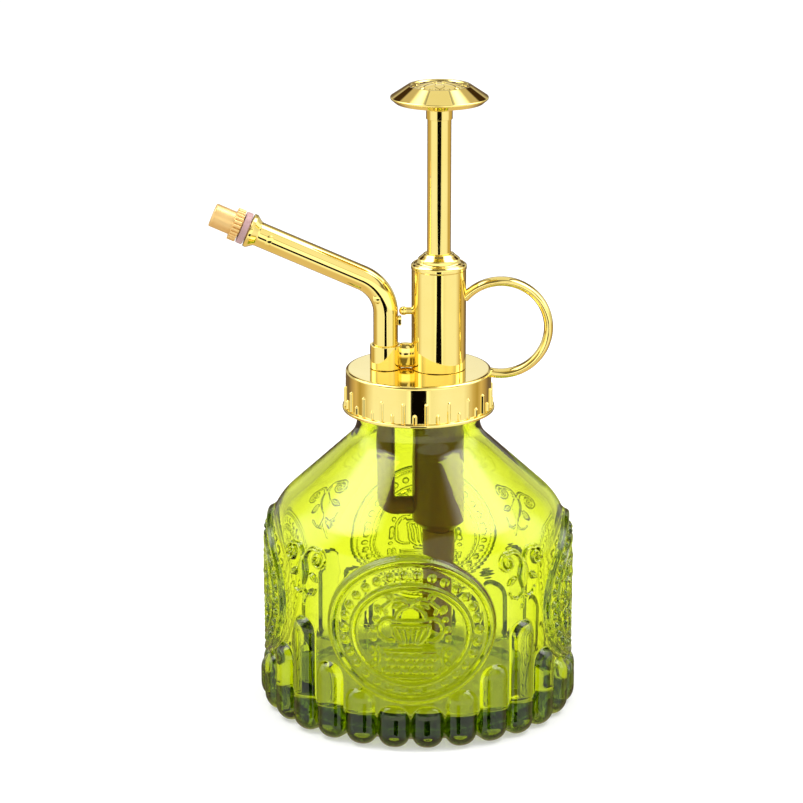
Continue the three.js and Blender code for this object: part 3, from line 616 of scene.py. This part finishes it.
def arc(centre, radius, first, last, steps=10):
    """Points of an arc, with its angles in degrees."""
    angles = np.radians(np.linspace(first, last, steps + 1))
    return [(centre[0] + radius * math.cos(a), centre[1] + radius * math.sin(a)) for a in angles]


def spiral(centre, outer, inner, first, turns, steps=22):
    """Points of a curl that winds in from its outer radius to its inner one."""
    points = []
    for share in np.linspace(0, 1, steps + 1):
        radius = outer + (inner - outer) * share
        angle = math.radians(first) + TURN * turns * share
        points.append((centre[0] + radius * math.cos(angle), centre[1] + radius * math.sin(angle)))
    return points


def leaf(u, v, centre, length, width, angle, height):
    """A pointed leaf with a vein along it, turned by an angle in degrees."""
    vein_width = 0.18
    cos, sin = math.cos(math.radians(angle)), math.sin(math.radians(angle))
    along = (u - centre[0]) * cos + (v - centre[1]) * sin
    across = -(u - centre[0]) * sin + (v - centre[1]) * cos
    share = np.clip(1 - (2 * along / length) ** 2, 0, 1)
    blade = ridge(across, width / 2 * share + 1e-6, height) * (share > 0)
    vein = step_up(np.abs(across), vein_width, 0.4 * height) * (share > 0.1)
    return np.maximum(blade - vein, 0)


def dot(u, v, centre, radius, height):
    return ridge(np.hypot(u - centre[0], v - centre[1]), radius, height)


def mirrored(u, v, draw):
    """The greater of a drawing and its mirror image."""
    return np.maximum(draw(u, v), draw(-u, v))


def urn(u, v):
    """A lidded, fluted urn with handles and leafy branches, on a beaded cloth, about 20 by 23 mm."""
    strokes = (  # a line's points, its half width and its height
        ([(0, 3.9), (4.6, 3.9)], 0.6, 1.0),  # the mouth
        ([(0, 2.5), (4.1, 2.5)], 0.4, 0.7),  # the band under it
        (arc((0, 4.2), 3.6, 4, 90), 0.5, 0.9),  # the lid
        (arc((-0.4, 2.2), 4.9, 0, -64, 8), 0.5, 0.9),  # the bowl's side
        (arc((5.0, 1.4), 3.0, 105, -100, 12), 0.5, 0.95),  # the handle
        ([(0, -3.0), (2.6, -3.0)], 0.5, 0.9),  # the urn's foot
        ([(0, -4.3), (6.4, -4.3)], 0.45, 0.85),  # the cloth's top, side and lower edge
        ([(8.4, -3.8), (7.9, -6.0), (8.2, -8.0), (7.4, -10.0)], 0.45, 0.85),
        ([(0, -11.2), (5.2, -11.2)], 0.45, 0.85),
        ([(0.6, 8.6), (2.4, 9.6), (4.8, 9.1), (6.8, 7.2), (6.2, 5.8)], 0.45, 0.8),  # the branch
        *(([(x, 1.7), (0.55 * x, -2.0)], 0.5, 0.8) for x in (0.0, 1.5, 3.0)),  # the flutes
    )
    dots = (  # a dot's middle, its radius and its height
        ((0, 8.5), 0.95, 1.0), ((9.3, 1.2), 0.8, 0.8), ((9.4, -1.2), 0.7, 0.7), ((8.7, 4.0), 0.7, 0.7),
        *(((x, y), 0.95, 0.85) for y, first in ((-6.0, 1.2), (-7.8, 0.0), (-9.6, 1.2))
          for x in np.arange(first, 7.0, 2.4)),
    )
    # a leaf's middle and its angle
    leaves = (3.5, 7.9, -30), (5.3, 10.3, 35), (8.2, 6.6, 60), (9.5, -4.8, 80), (9.2, -7.8, 100)

    def half(u, v):
        return np.maximum.reduce([
            *(stroke(u, v, *shape) for shape in strokes),
            *(dot(u, v, *shape) for shape in dots),
            *(leaf(u, v, (x, y), 2.8, 1.7, angle, 0.95) for x, y, angle in leaves),
        ])

    return mirrored(u, v, half)


def medallion_relief(u, v):
    """A beaded oval frame round the urn: u across and v up from its centre."""
    inner_drop = 1.0  # of the inner rims and the urn below the outer rims' middle
    rims = (  # half width and half height of a rim's oval, its drop, its half width and its height
        (20.0, 18.5, 0.0, 0.75, 1.35), (18.9, 17.4, 0.0, 0.35, 0.85),
        (14.9, 13.4, inner_drop, 0.65, 1.3), (13.75, 12.25, inner_drop, 0.35, 0.85))
    plate = step_up(oval_distance(u, v, *OVAL), 0.7, PLATE_RISE)
    parts = [plate, plate + urn(u, v + inner_drop)]
    for across, up, drop, half_width, rise in rims:
        parts.append(ridge(oval_distance(u, v + drop, across, up), half_width, rise))
    for i in range(PEARL_COUNT):
        angle = TURN * i / PEARL_COUNT
        centre = (PEARL_OVAL[0] * math.cos(angle), PEARL_OVAL[1] * math.sin(angle) - inner_drop / 2)
        parts.append(dot(u, v, centre, PEARL_R, PEARL_RISE))
    return np.maximum.reduce(parts)


def sprig_relief(s, z):
    """The sprig between two medallions: s is the distance along the glass from its middle."""
    def half(s, z):
        vine = arc((3.2, 47.4), 2.6, 180, 60, 8) + spiral((5.0, 47.6), 2.3, 0.6, 75, -1.4)
        tendril = [(0.3, 38.6), (1.6, 37.6), (3.4, 38.0), (4.4, 39.4)]
        return np.maximum.reduce([
            stroke(s, z, vine, 0.5, 1.05),
            stroke(s, z, tendril, 0.4, 0.7, 0.3),
            leaf(s, z, (3.7, 42.6), 3.4, 1.9, -35, 1.1),
        ])

    bud_z, bud_length, bud_width, bud_rise, pointedness = 44.0, 4.6, 1.8, 1.5, 1.7
    bud_share = np.clip(1 - np.abs((z - bud_z) / bud_length) ** pointedness, 1e-6, 1)
    bud = ridge(s, bud_width * bud_share, bud_rise * np.sqrt(bud_share))
    stem = stroke(s, z, [(0, 35.0), (0.2, 37.6), (0, 40.0)], 0.4, 0.7)
    return np.maximum.reduce([mirrored(s, z, half), bud, stem])


def lobe_surface(angles, z):
    """The radius of the upright lobes that stand side by side round the foot, round at both ends."""
    pitch = TURN / LOBE_COUNT
    lobes = LOBE_COUNT // MEDALLION_COUNT
    place = (angles / pitch) % lobes
    slot = np.floor(place).astype(int)
    top = np.array(LOBE_TOPS)[np.minimum(slot, lobes - 1 - slot)]
    half_width = pitch * BODY_R / 2
    nowhere = -100.0  # added where there is no lobe, so that the body's own surface wins
    across = np.abs(place - slot - 0.5) * 2 / LOBE_SHARE
    over = np.clip(z - (top - half_width), 0, None) / half_width
    under = np.clip(1 - z / LOBE_END, 0, 1)
    power = LOBE_SQUARENESS
    level = np.clip(1 - across**power - over**power - under**power, 0, 1)
    return LOBE_CORE_R + (LOBE_R - LOBE_CORE_R) * np.sqrt(level) + nowhere * (level <= 0)


def thread_relief(angles, z):
    """The neck's screw thread, which fades out over an eighth of a turn at both ends."""
    total = np.zeros_like(angles)
    for lap in range(math.ceil(THREAD_TURNS)):
        turns = angles / TURN + lap
        middle = THREAD_START_Z + THREAD_PITCH * turns
        fade = np.clip(8 * np.minimum(turns, THREAD_TURNS - turns), 0, 1)
        total = np.maximum(total, fade * ridge(z - middle, THREAD_HALF_WIDTH, THREAD_PROUD))
    return total


def bottle_outside():
    """Radius and height along the glass's outside, in small steps."""
    corners = [(FOOT_R, 0), *FOOT_SLOPE, (BODY_R, SHOULDER_Z, SHOULDER_FILLET),
               (NECK_R, NECK_BASE_Z, NECK_FILLET), (NECK_R, NECK_TOP_Z, 0.6),
               (NECK_BORE_R + NECK_CHAMFER, NECK_TOP_Z)]
    points = rounded(corners, False, 0.4, 16)
    lengths = np.concatenate([[0], np.cumsum(np.hypot(*np.diff(points, axis=0).T))])
    marks = [0.0]
    while marks[-1] < lengths[-1]:
        height = np.interp(marks[-1], lengths, points[:, 1])
        plain = SPRIG_TOP_Z < height < THREAD_START_Z - THREAD_PITCH / 2
        marks.append(marks[-1] + (PLAIN_STEP if plain else RELIEF_STEP))
    marks[-1] = lengths[-1]
    return np.column_stack([np.interp(marks, lengths, points[:, i]) for i in (0, 1)])


def bottle_inside():
    """Radius and height along the glass's inside, from the chamfer of its mouth to its floor."""
    inner_r = BODY_R - WALL
    corners = [
        (NECK_BORE_R + NECK_CHAMFER, NECK_TOP_Z), (NECK_BORE_R, NECK_TOP_Z - NECK_CHAMFER),
        (NECK_BORE_R, NECK_BASE_Z - 1.4, 9), (inner_r, SHOULDER_Z - 1.2, SHOULDER_FILLET - WALL),
        (inner_r, FLOOR_Z, FLOOR_FILLET), (0, FLOOR_Z)]
    return rounded(corners, False, 0.3, 10)[1:-1]


def pressed_swell(angles, z):
    """The slow waves of the inner wall, as pressed glass has them, which fade out towards the neck."""
    waves = 0.13 * np.sin(3 * angles + 0.11 * z) * np.sin(0.23 * z + 1) + 0.07 * np.sin(7 * angles - 0.4 * z)
    return waves * min(1.0, max(0.0, (76 - z) / 10))


def bottle_relief(angles, radius, z):
    """How far lobes, medallions and sprigs stand out. The angles count from the pattern's own start."""
    quarter = TURN / MEDALLION_COUNT
    from_medallion = (angles + quarter / 2) % quarter - quarter / 2
    from_sprig = angles % quarter - quarter / 2
    height = np.full(len(angles), z)
    relief = np.zeros(len(angles))
    if 0 < z < LOBE_TOPS[-1]:
        relief = np.maximum(lobe_surface(angles, z) - radius, 0)
    if MEDALLION_Z - OVAL[1] - 1 < z < SPRIG_TOP_Z:
        u, v = radius * np.sin(from_medallion), height - MEDALLION_Z
        relief = np.maximum(relief * (oval_distance(u, v, *OVAL) > 0), medallion_relief(u, v))
        relief = np.maximum(relief, sprig_relief(from_sprig * BODY_R, height))
    return relief


def glass_bottle():
    columns = 1440
    angles = np.arange(columns) / columns * TURN
    turned = angles + PATTERN_TURN

    def loop(radii, z):
        return np.column_stack([radii * np.sin(turned), -radii * np.cos(turned), np.full(columns, z)])

    loops = [tip(FOOT_HOLLOW[0][1])]
    loops += [circle(radius, z, columns) for radius, z in FOOT_HOLLOW]
    for radius, z in bottle_outside():
        on_thread = z > THREAD_START_Z - THREAD_PITCH / 2
        relief = thread_relief(turned % TURN, z) if on_thread else bottle_relief(angles, radius, z)
        loops.append(loop(radius + relief, z))
    loops += [loop(radius + pressed_swell(turned, z), z) for radius, z in bottle_inside()]
    loops.append(tip(FLOOR_Z + FLOOR_CROWN))
    show("glass_bottle", loops, crease=60)


# ---- the cap


def rib_relief(angles, z):
    """Long and short ribs by turns, standing on the flange."""
    place = (angles - FIRST_RIB_ANGLE) / TURN * RIB_COUNT
    number = np.round(place).astype(int)
    across = (place - number) / RIB_COUNT * TURN * CAP_R
    half = RIB_WIDTH / 2
    top = CAP_LOW_Z + FLANGE_HEIGHT + np.array(RIB_HEIGHTS)[number % 2] - half
    distance = np.hypot(across, np.clip(z - top, 0, None))
    flat, flank = 0.3 * half, 0.62 * half
    return step_up(distance - flat, flank, RIB_PROUD)


def screw_cap():
    """The ribbed shell, with the hole in its plate that the pump stands in."""
    shelf = CAP_LOW_Z + FLANGE_HEIGHT
    plate_z = CAP_TOP_Z - CAP_PLATE
    hole_r = min(r for r, _ in cad_outline("pump_barrel", PUMP_AXIS)[0])
    ribs_end = shelf + max(RIB_HEIGHTS) + 0.4
    outline = rounded([
        (hole_r, plate_z), (CAP_BORE_R, plate_z), (CAP_BORE_R, CAP_LOW_Z), (FLANGE_R, CAP_LOW_Z, 0.3),
        (FLANGE_R, shelf, 0.3), (CAP_R, shelf, 0.15), (CAP_R, CAP_TOP_Z, 0.75), (hole_r, CAP_TOP_Z),
    ], True, 0.2, 6)
    points = []
    for first, second in zip(outline, outline[1:]):
        points.append(first)
        on_wall = abs(first[0] - CAP_R) < 1e-6 and abs(second[0] - CAP_R) < 1e-6
        if on_wall and second[1] - first[1] > 1:
            rows = int((ribs_end - first[1]) / RIB_STEP)
            points += [np.array([CAP_R, z]) for z in np.linspace(first[1], ribs_end, rows)[1:]]
    points.append(outline[-1])
    loops = []
    for radius, z in points:
        ribbed = radius > CAP_R - 0.01 and shelf + 0.1 < z < ribs_end
        loop = circle(radius, z, 1200, rib_relief if ribbed else None)
        if radius < (hole_r + CAP_BORE_R) / 2:
            loop[:, 0] += PUMP_X
        loops.append(loop)
    show("screw_cap", loops, closed=True)


# ---- the knob


def rosette(angles, radius):
    """Petals round a boss, inside a ring of beads, in low relief."""
    petal_half_width, petal_rise = 1.35, 0.14
    bead_r, bead_rise = 0.42, 0.12
    inner, outer = PETAL_SPAN
    open_share = np.clip((radius - inner) / (outer - inner), 0, 1)
    petal_side = ((angles * PETAL_COUNT / TURN + 0.5) % 1 - 0.5) * radius * TURN / PETAL_COUNT
    petals = ridge(petal_side, petal_half_width * np.sin(np.pi * open_share) + 1e-6, petal_rise)
    boss = ridge(np.full(len(angles), radius), BOSS_R, BOSS_RISE)
    bead_side = ((angles * BEAD_COUNT / TURN) % 1 - 0.5) * radius * TURN / BEAD_COUNT
    beads = ridge(np.hypot(bead_side, radius - BEAD_RING_R), bead_r, bead_rise)
    return np.maximum.reduce([petals, boss, beads])


def knob():
    """The CAD knob's outline with softer edges, and a rosette on its slightly domed top."""
    outline = rounded(cad_outline("knob", PUMP_AXIS)[0], False, 0.35, 6)
    columns = 384
    angles = np.arange(columns) / columns * TURN
    top_z = outline[-1][1]
    loops = loops_from(outline[:-1], columns)
    for radius in np.linspace(KNOB_TOP_R, 0.15, 44):
        dome = KNOB_DOME * (1 - (radius / KNOB_TOP_R) ** 2)
        height = top_z + dome + rosette(angles, radius)
        loops.append(np.column_stack([radius * np.sin(angles), -radius * np.cos(angles), height]))
    loops.append(tip(top_z + KNOB_DOME + BOSS_RISE))
    show("knob", loops, PUMP_AXIS)


# ---- spout, ring and nozzle


def along_spout(distance):
    return SPOUT_CORNER + SPOUT_DIRECTION * distance


def pump_barrel():
    """The barrel with a small rolled lip at its top."""
    low, high = box_mm("pump_barrel")
    radii = [r for r, _ in cad_outline("pump_barrel", PUMP_AXIS)[0]]
    bore, radius = min(radii), max(radii)
    lip_r = radius + BARREL_LIP
    outline = rounded([
        (bore, low.z), (radius, low.z), (radius, high.z - 1.7), (lip_r, high.z - 1.4, 0.3),
        (lip_r, high.z - 0.5, 0.5), (radius - 0.4, high.z, 0.3), (bore, high.z),
    ], True, 0.12)
    show("pump_barrel", loops_from(outline, 128), PUMP_AXIS, closed=True)


def spout_tube():
    """The bent tube with its flared end, its bore and the hole that the nozzle's stem stands in."""
    columns, bend_steps = 72, 20
    foot = (SPOUT_X, 0, box_mm("spout_tube")[0].z)
    flare_z = FLARE_START - FLARE_LEAD
    hole_end = STEM_START - STEM_CLEARANCE
    path = elbow(foot, SPOUT_CORNER, along_spout(flare_z), SPOUT_BEND_R, bend_steps)
    outer = tube_loops(path, SPOUT_R, columns)
    flare = rounded([
        (SPOUT_R, flare_z), (SPOUT_R, FLARE_START - 0.6, 1.2), (FLARE_R, FLARE_END - 0.9, 0.3),
        (FLARE_R, FLARE_END, 0.25), (STEM_HOLE_R, FLARE_END, 0.15), (STEM_HOLE_R, hole_end),
        (SPOUT_BORE_R, hole_end)], False, 0.2, 5)
    across, up = frames_along(path)
    angles = np.arange(columns) / columns * TURN
    rim = across[-1] * np.cos(angles)[:, None] + up[-1] * np.sin(angles)[:, None]
    ends = [np.array(along_spout(z)) + rim * r for r, z in flare[1:]]
    inner_path = elbow(foot, SPOUT_CORNER, along_spout(hole_end - 0.2), SPOUT_BEND_R, bend_steps)
    inner = tube_loops(inner_path, SPOUT_BORE_R, columns)[::-1]
    show("spout_tube", outer + ends + inner, closed=True)


def finger_ring():
    """An open ring from the barrel's side to the cap's edge."""
    least_x = PUMP_X + 6.6  # just inside the barrel's side
    least_z = CAP_TOP_Z + 0.2
    rim_x = CAP_R - 0.8  # just inside the cap's side
    angles = np.radians(np.linspace(140, -106, 97))
    radius = RING_R - RING_THICKNESS / 2
    path = [(RING_CENTRE[0] + radius * math.cos(a), 0, RING_CENTRE[2] + radius * math.sin(a)) for a in angles]
    loops = tube_loops(path, RING_THICKNESS / 2, other=RING_WIDTH / 2)
    keep = [loop for loop, (x, _, z) in zip(loops, path) if x >= least_x and z > least_z or x > rim_x]
    show("finger_ring", keep)


def riser_pipe():
    """The duct that leaves the cylinder's foot and climbs to the outlet valve."""
    top_z = box_mm("riser_pipe")[1].z
    path = elbow((PUMP_X - PORT_REACH, 0, DUCT_Z), (SPOUT_X, 0, DUCT_Z), (SPOUT_X, 0, top_z), DUCT_BEND_R)
    show("riser_pipe", tube_loops(path, DUCT_R) + tube_loops(path, DUCT_BORE_R)[::-1], closed=True)


def suction_tube():
    """A plain tube whose foot is cut at a slant."""
    wall = 1.1
    slope = math.tan(math.radians(25))
    low, high = box_mm("suction_tube")
    radius = (high.x - low.x) / 2
    bore = radius - wall
    columns = 72
    outside = [(radius, share) for share in (0, 0.02, 0.5, 1)]
    inside = [(bore, share) for share in (1, 0.5, 0)]
    loops = []
    for r, share in outside + inside:
        ring = circle(r, 0, columns)
        foot = low.z + (radius - ring[:, 0]) * slope
        ring[:, 2] = foot + (high.z - foot) * share
        loops.append(ring)
    show("suction_tube", loops, PUMP_AXIS, closed=True)


def coil_spring(node, axis, wire, turns, steps=20):
    """A coil with flattened closed ends."""
    flat_turns = 0.7  # at each end
    low, high = box_mm(node)
    radius = (high.y - low.y) / 2 - wire
    angles = np.linspace(0, 1, int(turns * steps) + 1) * turns * TURN
    rise = np.clip((angles / TURN - flat_turns) / (turns - 2 * flat_turns), 0, 1)
    z = low.z + wire + (high.z - low.z - 2 * wire) * rise
    path = np.column_stack([radius * np.cos(angles), radius * np.sin(angles), z])
    return show(node, tube_loops(path, wire, 12), axis)


def nozzle_cap():
    """A ring of grip teeth and a stepped, rounded barrel with a small orifice."""
    inverse = NOZZLE_AXIS.inverted()
    points = [inverse @ (v.co / MM) for v in frame["nodes"]["nozzle_cap"].data.vertices]
    tip_z = max(point.z for point in points)
    between = (NOZZLE_R + KNURL_R) / 2  # parts the barrel from the grip
    countersink_z = tip_z - 0.35
    grip = [point.z for point in points if math.hypot(*point.xy) > between]
    low, shelf, floor = min(grip), max(grip), tip_z - NOZZLE_WALL
    outline = rounded([
        (CHAMBER_R, low), (KNURL_R, low), (KNURL_R, shelf), (NOZZLE_R, shelf), (NOZZLE_R, floor),
        (NOZZLE_R, tip_z, 0.35), (1.0, tip_z), (0.75, countersink_z), (ORIFICE_R, countersink_z),
        (ORIFICE_R, floor), (CHAMBER_R, floor),
    ], True, 0.12, 4)

    def teeth(angles, z):
        return KNURL_DEPTH * (np.abs(np.sin(angles * KNURL_TEETH / 2)) ** 0.6 - 1)

    loops = [circle(r, z, 576, teeth if r > between else None) for r, z in outline]
    show("nozzle_cap", loops, NOZZLE_AXIS, closed=True)


def plug(node):
    """A small round plug with a domed face, set in the spout's front."""
    low, high = box_mm(node)
    middle = (low + high) / 2
    radius = (high.x - low.x) / 2
    depth = high.y - low.y
    rise = 0.45  # of the dome
    axis = Matrix.Translation((middle.x, high.y, middle.z)) @ Matrix.Rotation(math.pi / 2, 4, "X")
    quarter = np.linspace(0, math.pi / 2, 8)
    dome = [(radius * math.cos(t), depth - rise * (1 - math.sin(t))) for t in quarter]
    points = np.array([(0, 0), (radius, 0)] + dome[:-1] + [(0, depth)])
    show(node, loops_from(points, 48), axis)


def brace_pin():
    """A short pin with a ball end that steadies the spout. Its root reaches a little into the barrel."""
    low, high = box_mm("brace_pin")
    ball = (high.z - low.z) / 2
    shank = 0.95
    root = high.x - low.x - ball + 0.5
    place = Matrix.Translation((low.x + ball, 0, (low.z + high.z) / 2))
    neck = math.asin(shank / ball)
    round_end = [(ball * math.sin(t), -ball * math.cos(t)) for t in np.linspace(0, math.pi - neck, 12)]
    points = round_end + [(shank, ball * math.cos(neck) + 0.15), (shank, root), (0, root)]
    axis = place @ Matrix.Rotation(math.pi / 2, 4, "Y")
    show("brace_pin", loops_from(points, 48), axis)


def valve_ball(node, axis):
    low, high = box_mm(node)
    radius = (high.z - low.z) / 2
    middle = (high.z + low.z) / 2
    points = [(radius * math.sin(t), middle - radius * math.cos(t)) for t in np.linspace(0, math.pi, 33)]
    show(node, loops_from(points, 64), axis)


def squash_with(obj):
    """Gives a spring its own copy of its mesh."""
    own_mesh(obj)


# ---- the object

glass_bottle()
screw_cap()
knob()
spout_tube()
finger_ring()
riser_pipe()
suction_tube()
nozzle_cap()
plug("spout_plug_outer")
plug("spout_plug_inner")
brace_pin()
pump_barrel()

bridge_low, bridge_high = box_mm("outlet_bridge")
into_neighbours = Vector((0.9, 0, 0))
rounded_block("outlet_bridge", bridge_low - into_neighbours, bridge_high + into_neighbours, 1.6, 2)
rounded_block("spout_lug", *box_mm("spout_lug"), 0.3)

for cad_node in ("neck_gasket", "slip_washer"):
    turned_as(cad_node, BOTTLE_AXIS)
for cad_node, edge in (("gland_nut", 0.6), ("rod_seal", 0.1), ("pump_cylinder", 0.25),
                       ("cylinder_gasket", 0.06), ("spring_seat", 0.1), ("piston", 0.2), ("piston_seal", 0.2),
                       ("plunger_rod", 0.2), ("knob_ferrule", 0.12), ("inlet_valve_housing", 0.2)):
    turned_as(cad_node, PUMP_AXIS, edge)
for cad_node, edge in (("outlet_socket", 0.15), ("outlet_valve_body", 0.15), ("spout_seal", 0.1)):
    turned_as(cad_node, SPOUT_AXIS, edge)
for cad_node, edge in (("nozzle_stem", 0.12), ("nozzle_washer", 0.25)):
    turned_as(cad_node, NOZZLE_AXIS, edge)

valve_ball("inlet_valve_ball", PUMP_AXIS)
valve_ball("outlet_valve_ball", SPOUT_AXIS)
return_spring = coil_spring("return_spring", PUMP_AXIS, 0.4, 12)
squash_with(return_spring)
outlet_spring = coil_spring("outlet_valve_spring", SPOUT_AXIS, 0.18, 4)
squash_with(outlet_spring)

for node, obj in frame["nodes"].items():
    obj.data.materials.clear()
    obj.data.materials.append(MATERIALS[SLOT_OF[node]])

# ---- floor, light and camera


def pale_floor():
    half = 3.0
    corners = [(x * half, y * half, 0) for x, y in ((-1, -1), (1, -1), (1, 1), (-1, 1))]
    mesh = bpy.data.meshes.new("floor")
    mesh.from_pydata(corners, [], [(0, 1, 2, 3)])

    def make_floor(nodes):
        return {"Base Color": nodes.spread(nodes.noise(3.0), 0.57, 0.59)}

    mesh.materials.append(new_material("pale_floor", make_floor, Roughness=0.8, Specular_IOR_Level=0.1,
                                       Emission_Color=opaque(1.0), Emission_Strength=0.38))
    obj = bpy.data.objects.new("floor", mesh)
    bpy.context.scene.collection.objects.link(obj)
    obj.visible_glossy = False


def round_patch(nodes, direction, azimuth, elevation, outer, inner):
    """1 within the inner angle from a middle and 0 past the outer one. The azimuth counts from the front."""
    turn, rise = math.radians(azimuth), math.radians(elevation)
    middle = (math.sin(turn) * math.cos(rise), -math.cos(turn) * math.cos(rise), math.sin(rise))
    compare = nodes.add("ShaderNodeVectorMath", {0: direction, 1: middle}, operation="DOT_PRODUCT")
    off, on = (math.cos(math.radians(angle)) for angle in (outer, inner))
    return nodes.fade(compare.outputs["Value"], off, on, "EASE")


def side_walls(nodes, side, height):
    """Bright walls that turn warm and dim behind. The lower ones have a dark slit in front.

    side runs from 0 in front to 1 behind, and height from 0 straight below to 1 straight above.
    """
    lower = nodes.ramp(side, [
        (0.0, (1.1, 1.08, 0.95)), (0.07, (1.35, 1.33, 1.2)), (0.11, (1.0, 0.98, 0.86)),
        (0.2, (1.08, 1.06, 0.98)), (0.42, (1.06, 1.04, 0.97)), (0.48, (0.9, 0.8, 0.62)),
        (0.535, (0.66, 0.5, 0.25)), (0.59, (0.5, 0.36, 0.12)), (0.65, (0.72, 0.53, 0.28)),
        (0.72, (0.5, 0.35, 0.18)), (0.8, (0.2, 0.14, 0.09)), (1.0, (0.17, 0.12, 0.08))])
    slit_width = nodes.ramp(height, [
        (0.28, 0.0), (0.3, 0.073), (0.366, 0.073), (0.37, 0.057), (0.379, 0.057), (0.385, 0.1),
        (0.41, 0.12), (0.43, 0.0)])
    edge_sharpness = 120.0
    inside = nodes.math("MULTIPLY", nodes.math("SUBTRACT", slit_width, side), edge_sharpness)
    lower = nodes.mix(nodes.fade(inside, 0.0, 1.0), lower, (0.003, 0.002, 0.001))
    upper = nodes.ramp(side, [
        (0.3, (1.6, 1.5, 1.25)), (0.4, (1.05, 1.02, 0.94)), (0.52, (0.85, 0.8, 0.66)),
        (0.88, (0.62, 0.58, 0.46)), (0.92, (0.17, 0.12, 0.08))])
    return nodes.mix(nodes.fade(height, 0.41, 0.435), lower, upper)


def ceiling(nodes, across, front):
    """A warm ceiling with a dark gap on each side, dim over the front."""
    warm, gap = (0.9, 0.84, 0.68), (0.06, 0.04, 0.02)
    overhead = nodes.ramp(nodes.math("ABSOLUTE", across), [
        (0.0, warm), (0.21, warm), (0.22, gap), (0.255, gap), (0.265, (0.66, 0.55, 0.4)),
        (1.0, (0.5, 0.42, 0.3))])
    over_front = nodes.math("MULTIPLY_ADD", front, 4.0, 0.2)
    return nodes.mix(nodes.fade(over_front, 0.2, 0.8), overhead, (0.22, 0.19, 0.12))


def studio_world():
    """A white studio.

    Reflections see bright walls and a warm floor and ceiling, with a broad card above the front, a dark flag
    on each side of the back, a small bright card between them, and strong lights high at both sides.
    What shines through the glass comes from a white surrounding that is dimmer higher up.
    """
    world = bpy.data.worlds.new("studio")
    world.use_nodes = True
    nodes = Nodes(world.node_tree)
    direction = nodes.add("ShaderNodeTexCoord").outputs["Generated"]
    across, depth, height = nodes.add("ShaderNodeSeparateXYZ", {0: direction}).outputs
    front = nodes.math("MULTIPLY", depth, -1.0)
    side = nodes.math("ABSOLUTE", nodes.math("DIVIDE", nodes.math("ARCTAN2", across, front), math.pi))
    height_share = nodes.math("MULTIPLY_ADD", height, 0.5, 0.5)
    walls = side_walls(nodes, side, height_share)
    polished = nodes.mix(nodes.fade(height, 0.255, 0.33), walls, ceiling(nodes, across, front))
    polished = nodes.mix(nodes.fade(height_share, 0.27, 0.12), polished, (0.78, 0.6, 0.38))
    dark_flag = (0.05, 0.025, 0.01)
    for azimuth, elevation, outer, inner, colour in (
            (30, 40, 27, 21, (1.05, 1.0, 0.85)), (-150, 27, 12, 8, dark_flag), (150, 27, 12, 8, dark_flag),
            (180, 17.5, 5.5, 3.5, (1.1, 1.12, 1.15))):
        patch = round_patch(nodes, direction, azimuth, elevation, outer, inner)
        polished = nodes.mix(patch, polished, colour)
    lights = 0.0
    for azimuth, elevation, outer, inner, strength in (
            (-101, 55, 24, 8, 5.0), (101, 55, 24, 8, 5.0), (-101, 28, 28, 0, 2.2), (101, 28, 28, 0, 2.2)):
        patch = round_patch(nodes, direction, azimuth, elevation, outer, inner)
        lights = nodes.blend("LIGHTEN", lights, nodes.mix(patch, 0.0, strength))
    polished = nodes.blend("ADD", polished, lights)
    through = nodes.ramp(height, [(0.05, 0.86), (0.35, 0.5), (0.8, 0.25)])
    path = nodes.add("ShaderNodeLightPath").outputs
    colour = nodes.mix(path["Is Transmission Ray"], 1.0, through)
    colour = nodes.mix(path["Is Reflection Ray"], colour, polished)
    colour = nodes.mix(path["Is Diffuse Ray"], colour, 1.0)
    background = nodes.add("ShaderNodeBackground", {"Color": colour, "Strength": 1.0})
    output = nodes.add("ShaderNodeOutputWorld")
    nodes.tree.links.new(background.outputs[0], output.inputs["Surface"])
    bpy.context.scene.world = world


def softbox(name, place, aim, size, power):
    light = bpy.data.lights.new(name, "AREA")
    light.shape = "RECTANGLE"
    light.size, light.size_y = size
    light.energy = power
    obj = bpy.data.objects.new(name, light)
    obj.location = place
    obj.rotation_euler = (Vector(aim) - Vector(place)).to_track_quat("-Z", "Y").to_euler()
    obj.visible_camera = False
    obj.visible_glossy = False
    bpy.context.scene.collection.objects.link(obj)


def studio_camera():
    place = Vector((-0.0044, -0.8, 0.317))
    aim = Vector((-0.0044, 0.0, 0.0808))
    data = bpy.data.cameras.new("camera")
    data.sensor_width = 36
    data.lens = 143.9
    camera = bpy.data.objects.new("camera", data)
    camera.location = place
    camera.rotation_euler = (aim - place).to_track_quat("-Z", "Y").to_euler()
    bpy.context.scene.collection.objects.link(camera)
    bpy.context.scene.camera = camera


pale_floor()
studio_world()
for name, x in (("left_softbox", -0.45), ("right_softbox", 0.45)):
    softbox(name, (x, 0.0, 0.9), (0, 0, 0.06), (0.30, 0.5), 5)
studio_camera()

scene = bpy.context.scene
scene.cycles.use_denoising = True
scene.cycles.max_bounces = 24
scene.cycles.transmission_bounces = 20
scene.cycles.glossy_bounces = 8
scene.cycles.transparent_max_bounces = 8
scene.view_settings.view_transform = "Standard"
